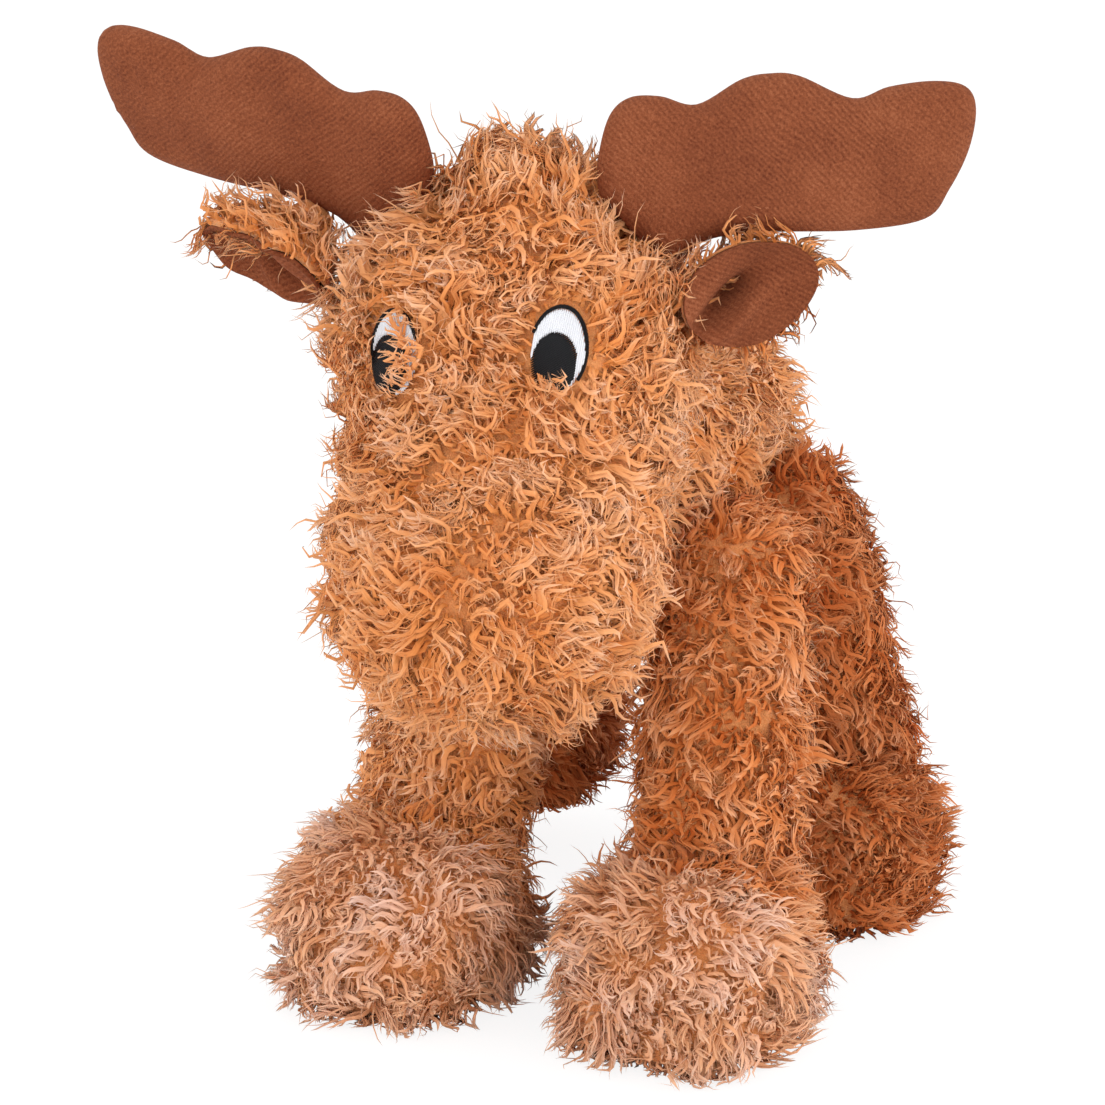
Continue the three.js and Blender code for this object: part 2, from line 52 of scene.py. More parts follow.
SHIFT = np.array(JOINTS["head_nod"]["pos_m"]) / MM - NECK

# The toy's main sizes
TORSO_LENGTH, TORSO_WIDTH, TORSO_HEIGHT, TORSO_Z = 124, 78, 76, 152
HEAD_HEIGHT, HEAD_WIDTH, HEAD_DEPTH = 150, 98, 84
HEAD_TURN, HEAD_Y, MUZZLE_REACH, CHIN_DROP = 9, -26, 26, 62
NECK_POCKET = 28.0
HIP_X, HIP_Z, HIP_DEPTH, LEG_RADIUS, ANKLE_RISE = 37.0, 124.0, 17.0, 23, 34.0
FOOT_HEIGHT, FOOT_WIDTH, FOOT_LENGTH, FOOT_FORWARD = 56, 73, 77, 21
# Each leg's side, hip y, ankle x, ankle y and sole z
LEGS = {
    "front_left": (1, -20, 44, -42, 0), "front_right": (-1, -20, 44, -42, 0),
    "hind_left": (1, 28, 42, 69, 0), "hind_right": (-1, 28, 70, 84, 20),
}
# Each side of the head: turns in degrees, and places in the head's frame
FLANKS = {
    "left": {
        "side": 1, "eye_z": 43.7, "pupil_shift": 0.8, "antler_rise": 2, "antler_lean": 0,
        "antler_depth": 48, "ear_rise": 20, "ear_sweep": 25, "ear_lean": 0, "ear_root": [47.2, -36.0, 48.0],
    },
    "right": {
        "side": -1, "eye_z": 40.6, "pupil_shift": 1.2, "antler_rise": 8, "antler_lean": 20,
        "antler_depth": 50, "ear_rise": 24, "ear_sweep": 2, "ear_lean": 50, "ear_root": [49.0, -36.0, 51.0],
    },
}
ANTLER_SWEEP, ANTLER_ROOT, ANTLER_ROOT_DEPTH, ANTLER_LENGTH = 8, [35.5, -26.0, 70.5], 5.2, 101
# The antler's outline from the front, in shares of its length and depth
ANTLER_OUTLINE = [
    [0.1, -0.2], [0.19, -0.03], [0.353, 0.016], [0.579, 0.022], [0.756, 0.081], [0.819, 0.243],
    [0.869, 0.459], [0.887, 0.676], [0.861, 0.795], [0.781, 0.827], [0.668, 0.8], [0.574, 0.741],
    [0.441, 0.865], [0.365, 0.881], [0.29, 0.849], [0.176, 0.719], [0.082, 0.766], [0.003, 0.76],
    [-0.05, 0.66], [-0.082, 0.43], [-0.085, 0.23],
]
# An antler's pad rises from its seam over an edge, and a little more in its belly
PAD_RISE, PAD_EDGE, PAD_BELLY = 5.4, 6.5, 1.1
# Rings of points inside its seam, by depth, and the grid that fills the rest
RIM_RINGS, GRID_STEP, GRID_MARGIN = (0.25, 0.8, 1.7, 2.9), 1.5, 3.7
EAR_MIDDLE, EAR_ROWS, EAR_COLUMNS = 18.2, 22, 72
EYE_X, EYE_W, EYE_H, EYE_LIFT = 21.5, 6.5, 10.5, 4.3
PUPIL_W, PUPIL_H, PUPIL_DROP = 5.3, 7.2, 3.0
STITCH_PITCH = 0.5
# The black line round an eye: start, end and step in radians
RIM_ARC = (-0.75, 2.7, 0.035)

# How far the cloth under the pile lies inside the CAD's covers, and the eyes' ground outside
BODY_INSET, LEG_INSET, FOOT_INSET, STITCH_SEAT = 5.0, 4.6, 6.0, 0.4
# A sole is raised by a share of its inset. Room over the ground for it and for its pile
SOLE_SHARE, SOLE_ROOM, PILE_ROOM = 0.45, 1.2, 0.9
# How far the pile of a front leg reaches over its foot
COLLAR_REACH = 11.0
# A leg's pocket in the body: its wall's x, and its edge's distances from the leg
POCKET_X, POCKET_EDGE = 16.5, (20.5, 24.5)


# Small tools

def unit(v):
    return v / np.maximum(np.linalg.norm(v, axis=-1, keepdims=True), 1e-9)


def smoothstep(low, high, x):
    t = np.clip((x - low) / (high - low), 0, 1)
    return t * t * (3 - 2 * t)


class Waves:
    """Smooth seeded noise made of plane waves, about -1 to 1, with any number of channels."""

    def __init__(self, seed, wavelength, channels=1, count=12):
        rng = np.random.default_rng(seed)
        way = unit(rng.normal(size=(count, 3)))
        self.k = 2 * np.pi * way / (wavelength * rng.uniform(0.7, 1.6, (count, 1)))
        self.phase = rng.uniform(0, 2 * np.pi, (channels, count))
        self.gain = 1.3 / math.sqrt(count)

    def __call__(self, p):
        a = p @ self.k.T
        return np.stack([np.sin(a + phase).sum(1) for phase in self.phase], 1) * self.gain


def matrix(rotation, place):
    m = np.eye(4)
    m[:3, :3] = rotation
    m[:3, 3] = place
    return m


def turn(axis, degrees):
    return np.array(Matrix.Rotation(math.radians(degrees), 3, axis))


def moved(m, p):
    return p @ m[:3, :3].T + m[:3, 3]


def mirror(side):
    return matrix(np.diag([side, 1.0, 1.0]), np.zeros(3))


def smooth_rows(rows, steps):
    """Catmull-Rom through the rows of a table."""
    t = np.asarray(rows, float)
    padded = np.vstack([2 * t[0] - t[1], t, 2 * t[-1] - t[-2]])
    out = []
    for i in range(1, len(padded) - 2):
        a, b, c, d = padded[i - 1:i + 3]
        for u in (s / steps for s in range(steps)):
            out.append(0.5 * (2 * b + (c - a) * u + (2 * a - 5 * b + 4 * c - d) * u * u
                              + (3 * b - a - 3 * c + d) * u ** 3))
    out.append(t[-1])
    return np.array(out)


def tube_faces(rings, sides):
    """The faces between rings of points, from the first ring to the last."""
    ring = [(j, (j + 1) % sides) for j in range(sides)]
    return [(low + j, low + k, low + sides + k, low + sides + j)
            for low in range(0, (rings - 1) * sides, sides) for j, k in ring]


def loft(centres, half_u, half_v, squareness, sides):
    """A closed form through rings, as points and faces."""
    angle = 2 * np.pi * np.arange(sides) / sides
    power = 2 / squareness
    c = np.sign(np.cos(angle)) * np.abs(np.cos(angle)) ** power
    s = np.sign(np.sin(angle)) * np.abs(np.sin(angle)) ** power
    rings = (centres[:, None] + half_u[:, None] * c[None, :, None]
             + half_v[:, None] * s[None, :, None])
    count = len(centres)
    points = np.vstack([rings.reshape(-1, 3), centres[:1], centres[-1:]])
    faces = tube_faces(count, sides)
    start, last = count * sides, (count - 1) * sides
    for j in range(sides):
        k = (j + 1) % sides
        faces.append((start, k, j))
        faces.append((start + 1, last + j, last + k))
    return points, faces


def fans(faces):
    """The triangles of faces."""
    return np.array([(f[0], f[i], f[i + 1]) for f in faces for i in range(1, len(f) - 1)])


def outward(points, faces):
    """The faces, turned so that they face out of the closed form."""
    a, b, c = points[fans(faces)].transpose(1, 0, 2)
    volume = (a * np.cross(b, c)).sum()
    return faces if volume > 0 else [tuple(reversed(face)) for face in faces]


class Skin:
    """A closed surface in millimetres with normals, which fur can grow on."""

    def __init__(self, points, faces):
        self.points = points
        self.faces = outward(points, faces)
        self.tris = fans(self.faces)
        self.update()

    def update(self):
        p = self.points
        cross = np.cross(p[self.tris[:, 1]] - p[self.tris[:, 0]], p[self.tris[:, 2]] - p[self.tris[:, 0]])
        self.area = np.linalg.norm(cross, axis=1) / 2
        normals = np.zeros_like(p)
        for i in range(3):
            np.add.at(normals, self.tris[:, i], cross)
        self.normals = unit(normals)
        self.face_normals = [Vector(self.normals[list(face)].mean(0)) for face in self.faces]
        self.tree = BVHTree.FromPolygons([tuple(q) for q in p], self.faces)

    def swell(self, amount):
        self.points = self.points + self.normals * np.reshape(amount, (-1, 1))
        self.update()

    def depth(self, points):
        """How far each point lies outside the surface; inside is less than zero."""
        out = np.empty(len(points))
        for i, p in enumerate(points):
            near, _, face, distance = self.tree.find_nearest(Vector(p))
            out[i] = distance if (Vector(p) - near).dot(self.face_normals[face]) > 0 else -distance
        return out

    def scatter(self, spacing, rng):
        """Places at least a spacing apart, with normals, spread evenly over the surface."""
        count = int(self.area.sum() / spacing ** 2 * 5)
        pick = rng.choice(len(self.tris), count, p=self.area / self.area.sum())
        r1, r2 = rng.random((2, count, 1))
        swap = r1 + r2 > 1
        r1, r2 = np.where(swap, 1 - r1, r1), np.where(swap, 1 - r2, r2)
        a, b, c = (self.points[self.tris[pick, i]] for i in range(3))
        na, nb, nc = (self.normals[self.tris[pick, i]] for i in range(3))
        p = a + (b - a) * r1 + (c - a) * r2
        n = unit(na + (nb - na) * r1 + (nc - na) * r2)
        cells, keep = {}, []
        key = np.floor(p / spacing).astype(int)
        near = [(x, y, z) for x in (-1, 0, 1) for y in (-1, 0, 1) for z in (-1, 0, 1)]
        for i in range(count):
            kx, ky, kz = key[i]
            q = p[i]
            if all(
                (q[0] - o[0]) ** 2 + (q[1] - o[1]) ** 2 + (q[2] - o[2]) ** 2 >= spacing ** 2
                for x, y, z in near
                for o in cells.get((kx + x, ky + y, kz + z), ())
            ):
                cells.setdefault((kx, ky, kz), []).append(q)
                keep.append(i)
        return p[keep], n[keep]


def placed(name, data):
    obj = bpy.data.objects.new(name, data)
    bpy.context.scene.collection.objects.link(obj)
    return obj


def make_mesh(name, points, faces, material, uv=None, normals=None):
    """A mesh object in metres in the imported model's frame."""
    points = (np.asarray(points) + SHIFT) * MM
    mesh = bpy.data.meshes.new(name)
    if isinstance(faces, tuple):
        corners, starts = faces
    else:
        corners = np.concatenate([np.array(face) for face in faces])
        starts = np.concatenate([[0], np.cumsum([len(face) for face in faces])[:-1]])
    mesh.vertices.add(len(points))
    mesh.vertices.foreach_set("co", points.astype(np.float32).ravel())
    mesh.loops.add(len(corners))
    mesh.loops.foreach_set("vertex_index", corners.astype(np.int32))
    mesh.polygons.add(len(starts))
    mesh.polygons.foreach_set("loop_start", starts.astype(np.int32))
    for label, values in (uv or {}).items():
        layer = mesh.uv_layers.new(name=label)
        layer.data.foreach_set("uv", values[corners].astype(np.float32).ravel())
    mesh.update(calc_edges=True)
    mesh.validate()
    mesh.shade_smooth()
    if normals is not None:
        mesh.normals_split_custom_set_from_vertices(normals.astype(np.float32))
    mesh.materials.append(material)
    return placed(name, mesh)


# Materials

def srgb(*channels):
    linear = [((c / 255 + 0.055) / 1.055) ** 2.4 if c > 10 else c / 255 / 12.92 for c in channels]
    return (*linear, 1.0)


class Nodes:
    """A node tree, with short ways to add to it."""

    def __init__(self, tree):
        self.tree = tree

    def node(self, kind, inputs=None, **settings):
        """A new node, whose inputs are values or other nodes' outputs."""
        made = self.tree.nodes.new(kind)
        for key, value in settings.items():
            setattr(made, key, value)
        for key, value in (inputs or {}).items():
            if hasattr(value, "links"):
                self.tree.links.new(value, made.inputs[key])
            else:
                made.inputs[key].default_value = value
        return made

    def ramp(self, source, stops):
        made = self.node("ShaderNodeValToRGB", {"Fac": source})
        ramp = made.color_ramp
        while len(ramp.elements) < len(stops):
            ramp.elements.new(0.5)
        for element, (place, colour) in zip(ramp.elements, stops):
            element.position = place
            element.color = colour
        return made.outputs["Color"]

    def noise(self, vector, scale, detail=3.0, roughness=0.55):
        inputs = {"Scale": scale, "Detail": detail, "Roughness": roughness, "Vector": vector}
        return self.node("ShaderNodeTexNoise", inputs).outputs["Fac"]

    def maths(self, operation, *values):
        return self.node("ShaderNodeMath", dict(enumerate(values)), operation=operation).outputs[0]


class Cloth(Nodes):
    """A material with one Principled shader."""

    def __init__(self, name, roughness, sheen=0.0, specular=0.3):
        self.material = bpy.data.materials.new(name)
        self.material.use_nodes = True
        super().__init__(self.material.node_tree)
        self.shader = self.tree.nodes["Principled BSDF"]
        values = {"Roughness": roughness, "Specular IOR Level": specular, "Sheen Weight": sheen,
                  "Sheen Roughness": 0.45}
        for key, value in values.items():
            self.shader.inputs[key].default_value = value

    def bump(self, height, distance, strength=1.0):
        made = self.node("ShaderNodeBump", {"Distance": distance, "Strength": strength, "Height": height})
        self.tree.links.new(made.outputs["Normal"], self.shader.inputs["Normal"])

    def colour(self, source):
        self.tree.links.new(source, self.shader.inputs["Base Color"])


def strand_material(name, deep, low, mid, tip):
    """Pile strands: the map's u runs from root to tip, and v is the strand's own tone. The colour darkens
    towards the root as painted shade deep in the pile, and lightens towards the tip, partly the strands' own
    colour and partly painted highlight.
    """
    m = Cloth(name, roughness=0.7, sheen=0.05, specular=0.1)
    uv = m.node("ShaderNodeUVMap", uv_map="OFBake").outputs["UV"]
    split = m.node("ShaderNodeSeparateXYZ", {0: uv})
    # Root to tip: darker at the root as painted shade, lighter at the tip partly as painted highlight
    along = m.ramp(split.outputs["X"], [(0.05, deep), (0.35, low), (0.72, mid), (0.97, tip)])
    tone = m.ramp(split.outputs["Y"], [
        (0.0, (0.84, 0.62, 0.42, 1)), (0.3, (0.95, 0.86, 0.74, 1)), (0.55, (1.0, 1.0, 1.0, 1)),
        (1.0, (1.0, 1.14, 1.4, 1)),
    ])
    both = m.node("ShaderNodeMix", {0: 1.0, 6: along, 7: tone}, data_type="RGBA", blend_type="MULTIPLY")
    m.colour(both.outputs[2])
    return m.material


def backing_material(name, dark, light):
    """The knitted ground that the pile grows from, mottled by the short under-pile. It is coloured somewhat
    darker than the pile, as painted shade in the gaps between the strands.
    """
    m = Cloth(name, roughness=0.9, sheen=0.2, specular=0.2)
    place = m.node("ShaderNodeTexCoord").outputs["Object"]
    fine = m.noise(place, 900.0, 4.0)
    coarse = m.noise(place, 120.0, 3.0)
    both = m.maths("MULTIPLY_ADD", coarse, 0.5, m.maths("MULTIPLY", fine, 0.6))
    m.colour(m.ramp(both, [(0.3, dark), (0.75, light)]))
    m.bump(fine, 0.0012)
    return m.material


def felt_material(name, dark, base, light):
    """Brushed knit: fine slanting ribs, rubbed in places, under a short nap."""
    m = Cloth(name, roughness=0.85, sheen=0.15, specular=0.15)
    m.shader.inputs["Sheen Tint"].default_value = srgb(226, 150, 110)
    uv = m.node("ShaderNodeUVMap", uv_map="cloth").outputs["UV"]
    place = m.node("ShaderNodeTexCoord").outputs["Object"]
    shove = m.node("ShaderNodeVectorMath", {0: m.noise(uv, 34.0, 3.0), "Scale": 0.004}, operation="SCALE")
    bent = m.node("ShaderNodeVectorMath", {0: uv, 1: shove.outputs[0]}, operation="ADD").outputs[0]
    ribs = m.node("ShaderNodeTexWave", {
        "Scale": 330.0, "Distortion": 2.2, "Detail": 2.0, "Detail Scale": 2.0, "Vector": bent,
    }, wave_type="BANDS", bands_direction="DIAGONAL", wave_profile="SIN")
    nap = m.noise(place, 1500.0, 4.0, 0.75)
    patch = m.noise(place, 45.0, 3.0)
    rubbed = m.maths("MULTIPLY", m.noise(place, 24.0, 2.0), 0.15)
    rib = m.maths("MULTIPLY", ribs.outputs["Fac"], rubbed)
    soft = m.maths("ADD", m.maths("MULTIPLY", nap, 0.8), m.maths("MULTIPLY", patch, 0.3))
    m.colour(m.ramp(m.maths("ADD", rib, soft), [(0.38, dark), (0.62, base), (0.86, light)]))
    m.bump(m.maths("ADD", m.maths("MULTIPLY", rib, 2.5), nap), 0.0006)
    return m.material


def thread_material(name, colour, shade, roughness):
    """Glossy embroidery thread: its fibres twist along each stitch."""
    m = Cloth(name, roughness=roughness)
    uv = m.node("ShaderNodeUVMap", uv_map="OFBake").outputs["UV"]
    twist = m.node("ShaderNodeTexWave", {"Scale": 9.0, "Distortion": 0.8, "Vector": uv},
                   wave_type="BANDS", bands_direction="DIAGONAL").outputs["Fac"]
    m.colour(m.ramp(twist, [(0.0, shade), (0.6, colour)]))
    m.bump(twist, 0.0001, 0.6)
    return m.material


PILE = strand_material("pile_strands", srgb(224, 136, 68), srgb(230, 150, 88), srgb(234, 162, 108),
                       srgb(238, 186, 148))
# A darker copy of the pile for the front-left leg, as painted shade
SHADED_LEG_PILE = strand_material("leg_pile_painted_shade_strands", srgb(202, 104, 44), srgb(214, 124, 64), srgb(224, 144, 90),
                           srgb(232, 172, 130))
FOOT_PILE = strand_material("foot_pile_strands", srgb(230, 160, 112), srgb(232, 168, 126),
                            srgb(236, 180, 144), srgb(238, 194, 164))
# A still darker copy of the pile for the hind legs and feet, as painted shade
SHADED_HIND_PILE = strand_material("hind_pile_painted_shade_strands", srgb(176, 80, 32), srgb(190, 100, 48),
                            srgb(202, 118, 66), srgb(216, 146, 100))
# The backing is darkened a little as painted shade in the gaps of the pile
BACKING = backing_material("pile_backing", srgb(212, 128, 68), srgb(236, 160, 100))
FELT = felt_material("brushed_felt", srgb(98, 44, 26), srgb(144, 79, 49), srgb(180, 110, 76))
WHITE = thread_material("white_thread", srgb(252, 252, 254), srgb(214, 218, 230), 0.4)
BLACK = thread_material("black_thread", srgb(12, 12, 18), srgb(3, 3, 6), 0.35)


# Forms

def torso_skin(inset):
    """The body with its neck end, from shares of its length, width and height, and a lift."""
    rows = smooth_rows([
        [-0.012, 0.1, 0.1, -0.03],
        [0.0, 0.3, 0.32, -0.03], [0.04, 0.58, 0.6, -0.03], [0.12, 0.84, 0.86, -0.02],
        [0.26, 0.97, 0.98, 0.0], [0.45, 1.0, 1.0, 0.0], [0.62, 0.99, 0.98, 0.02],
        [0.76, 0.9, 0.9, 0.06], [0.86, 0.78, 0.79, 0.115], [0.94, 0.75, 0.77, 0.155],
        [1.02, 0.76, 0.78, 0.184], [1.1, 0.72, 0.74, 0.184], [1.17, 0.56, 0.58, 0.184],
        [1.22, 0.35, 0.36, 0.184], [1.24, 0.14, 0.14, 0.184],
    ], 4)
    along, wide, high, lift = rows.T
    shrink = 1 - 2 * inset / TORSO_LENGTH
    zero = np.zeros_like(along)
    centres = np.stack([zero, TORSO_LENGTH * (0.5 - along) * shrink, TORSO_Z + lift * TORSO_HEIGHT], 1)
    taper = np.minimum(1, 2.2 * wide)
    u = np.stack([wide * TORSO_WIDTH / 2 - inset * taper, zero, zero], 1)
    v = np.stack([zero, zero, high * TORSO_HEIGHT / 2 - inset * taper], 1)
    return Skin(*loft(centres, u, v, squareness=2.3, sides=56))


def level_skin(rows, squareness, sides):
    """A form that stands up: each row is x, y, z, half width, half depth."""
    x, y, z, wide, deep = np.asarray(rows).T
    zero = np.zeros_like(x)
    centres = np.stack([x, y, z], 1)
    return loft(centres, np.stack([wide, zero, zero], 1), np.stack([zero, deep, zero], 1),
                squareness, sides)


def head_points(inset):
    """The head, from shares of its height, width, depth and reach forward."""
    rows = smooth_rows([
        [-0.012, 0.1, 0.1, 0.9],
        [0.0, 0.3, 0.34, 0.92], [0.04, 0.6, 0.64, 0.95], [0.1, 0.76, 0.82, 1.0],
        [0.19, 0.86, 0.93, 1.0], [0.31, 0.9, 0.97, 0.88], [0.44, 0.89, 0.95, 0.6],
        [0.55, 0.93, 0.95, 0.3], [0.65, 1.0, 1.0, 0.08], [0.74, 0.96, 1.0, 0.0],
        [0.83, 0.78, 0.86, 0.0], [0.91, 0.54, 0.64, 0.0], [0.97, 0.34, 0.4, 0.0],
        [1.0, 0.16, 0.2, 0.0], [1.006, 0.05, 0.06, 0.0],
    ], 5)
    up, wide, deep, reach = rows.T
    taper = np.minimum(1, 2 * wide)
    return level_skin(np.stack([
        0 * up, HEAD_Y - MUZZLE_REACH * reach, inset + up * (HEAD_HEIGHT - 2 * inset) - CHIN_DROP,
        wide * HEAD_WIDTH / 2 - inset * taper, deep * HEAD_DEPTH / 2 - inset * taper,
    ], 1), squareness=2.15, sides=64)


HEAD = matrix(turn("Z", HEAD_TURN), NECK)


def eye_height(side):
    return np.where(side > 0, FLANKS["left"]["eye_z"], FLANKS["right"]["eye_z"])


def eye_measure(local, grow=1.0):
    """For points in the head's frame: 1 on an eye's rim, less inside, and which side."""
    side = np.where(local[:, 0] > 0, 1.0, -1.0)
    across = (np.abs(local[:, 0]) - EYE_X) / (EYE_W + grow)
    up = (local[:, 2] - eye_height(side)) / (EYE_H + grow)
    measure = np.hypot(across, up)
    return np.where(local[:, 1] < -35, measure, 9.0), side


def leg_matrix(leg):
    side, hip_y = LEGS[leg][:2]
    return matrix(np.diag([side, 1.0, 1.0]), np.array([side * HIP_X, hip_y, HIP_Z]))


def leg_skin(leg, inset):
    """A tube with a round top and a flat inner side."""
    _, hip_y, ankle_x, ankle_y, sole_z = LEGS[leg]
    reach = np.array([ankle_x - HIP_X, ankle_y - hip_y, sole_z + ANKLE_RISE - HIP_Z])
    rows = []
    for up, swell in ((-0.14, -0.25), (-0.07, -0.04), (0.0, 0.06), (0.3, 0.08), (0.65, 0.05), (1.0, 0.0)):
        radius = LEG_RADIUS * (1 + swell) - inset
        rows.append([*(reach * (1 - up)), radius, radius])
    for rise in (0.45, 0.78, 0.95, 0.995):
        half = (LEG_RADIUS - inset) * math.sqrt(1 - rise * rise)
        rows.append([0, 0, (LEG_RADIUS - inset) * rise, half, half])
    points, faces = level_skin(smooth_rows(rows, 4), squareness=2.0, sides=36)
    points[:, 0] = np.maximum(points[:, 0], -HIP_DEPTH)
    return Skin(moved(leg_matrix(leg), points), faces)


def foot_skin(leg, inset):
    """A block foot, from shares of its height and of its width and length there."""
    _, hip_y, ankle_x, ankle_y, sole_z = LEGS[leg]
    rows = []
    for up, size in ((-0.001, 0.5), (0.0, 0.82), (0.07, 0.92), (0.22, 0.99), (0.45, 1.0), (0.68, 0.93),
                     (0.85, 0.76), (0.96, 0.48), (1.0, 0.2), (1.004, 0.06)):
        rise = inset * SOLE_SHARE + up * (FOOT_HEIGHT - (1 + SOLE_SHARE) * inset)
        rows.append([ankle_x - HIP_X, ankle_y - hip_y - FOOT_FORWARD, sole_z + rise - HIP_Z,
                     size * (FOOT_WIDTH / 2 - inset), size * (FOOT_LENGTH / 2 - inset)])
    points, faces = level_skin(smooth_rows(rows, 4), squareness=2.5, sides=48)
    return Skin(moved(leg_matrix(leg), points), faces)


def antler_matrix(flank):
    own = FLANKS[flank]
    way = turn("Z", ANTLER_SWEEP) @ turn("Y", -own["antler_rise"]) @ turn("X", own["antler_lean"])
    return HEAD @ mirror(own["side"]) @ matrix(way, np.array(ANTLER_ROOT))


def ear_matrix(flank):
    own = FLANKS[flank]
    way = turn("Z", own["ear_sweep"]) @ turn("Y", -own["ear_rise"])
    return HEAD @ mirror(own["side"]) @ matrix(way, np.array(own["ear_root"]))


def distance_to(outline, p):
    """Distance from points to a closed outline."""
    a = outline
    b = np.roll(outline, -1, axis=0)
    ab = b - a
    best = np.full(len(p), 1e9)
    for start, edge in zip(a, ab):
        t = np.clip(((p - start) @ edge) / max(edge @ edge, 1e-12), 0, 1)
        best = np.minimum(best, np.linalg.norm(p - start - t[:, None] * edge, axis=1))
    return best


def antler_form(flank):
    """Two felt panels puffed out over an outline, in the antler's frame, with its cloth map."""
    outline = np.array(ANTLER_OUTLINE) * [ANTLER_LENGTH, FLANKS[flank]["antler_depth"]]
    inner, outer = outline[-1], outline[0]
    along = unit(outer - inner)
    middle = (inner + outer) / 2 + np.array([-along[1], along[0]]) * ANTLER_ROOT_DEPTH
    outline = smooth_rows(outline - middle, 7)
    closing = np.linspace(outline[-1], outline[0], 14)[1:-1]
    outline = np.vstack([outline, closing])
    way = unit(np.roll(outline, -1, axis=0) - np.roll(outline, 1, axis=0))
    inward = np.stack([-way[:, 1], way[:, 0]], 1)
    rings = []
    for depth in RIM_RINGS:
        ring = outline + inward * depth
        ring = ring[:: 1 if depth < 1 else 2]
        rings.append(ring[distance_to(outline, ring) > depth * 0.93])
    low, high = outline.min(0), outline.max(0)
    gx, gy = np.meshgrid(np.arange(low[0], high[0], GRID_STEP), np.arange(low[1], high[1], GRID_STEP))
    gx[1::2] += GRID_STEP / 2
    grid = np.stack([gx.ravel(), gy.ravel()], 1)
    grid = grid[distance_to(outline, grid) > GRID_MARGIN]
    count = len(outline)
    points = [Vector(p) for p in np.vstack([outline, *rings, grid])]
    edges = [(i, (i + 1) % count) for i in range(count)]
    flat, _, tris, _, _, _ = delaunay_2d_cdt(points, edges, [list(range(count))], 1, 1e-6)
    flat = np.array([tuple(p) for p in flat])
    far = distance_to(outline, flat)
    rim = far < 1e-4
    puff = PAD_RISE * np.sqrt(1 - (1 - np.clip(far / PAD_EDGE, 0, 1)) ** 2)
    puff = puff + PAD_BELLY * smoothstep(4, 20, far)
    side = FLANKS[flank]["side"]
    count = len(flat)
    sheet = np.column_stack([flat, np.zeros(count)])
    lumps = Waves(31 + side, 26, 2)(sheet)
    dents = Waves(41 + side, 7, 2)(sheet) * (far > 1)[:, None]
    front, back = (puff[:, None] * (1 + 0.07 * lumps) + 0.12 * dents).T
    inner_ids = np.flatnonzero(~rim)
    index = np.arange(count)
    index[inner_ids] = count + np.arange(len(inner_ids))
    top = np.column_stack([flat[:, 0], np.where(rim, 0, -front), flat[:, 1]])
    bottom = np.column_stack([flat[:, 0], back, flat[:, 1]])[inner_ids]
    faces = [tuple(t) for t in tris] + [tuple(int(index[i]) for i in reversed(t)) for t in tris]
    points = np.vstack([top, bottom])
    return points, faces, points[:, [0, 2]] * MM


# Pile

FINE_PROFILE = [0.85, 1.0, 0.8, 0.25]
LOCK_PROFILE = [0.6, 1.0, 0.85, 0.3]
# How far the shading of a strand follows the cloth under it, as light scattered in the pile does
SOFTNESS = 0.8
# The middle of the strands' tones, from 0 to 1, and how deep in the cloth the roots sit
TONE, ROOT_DEPTH = 0.5, 0.6


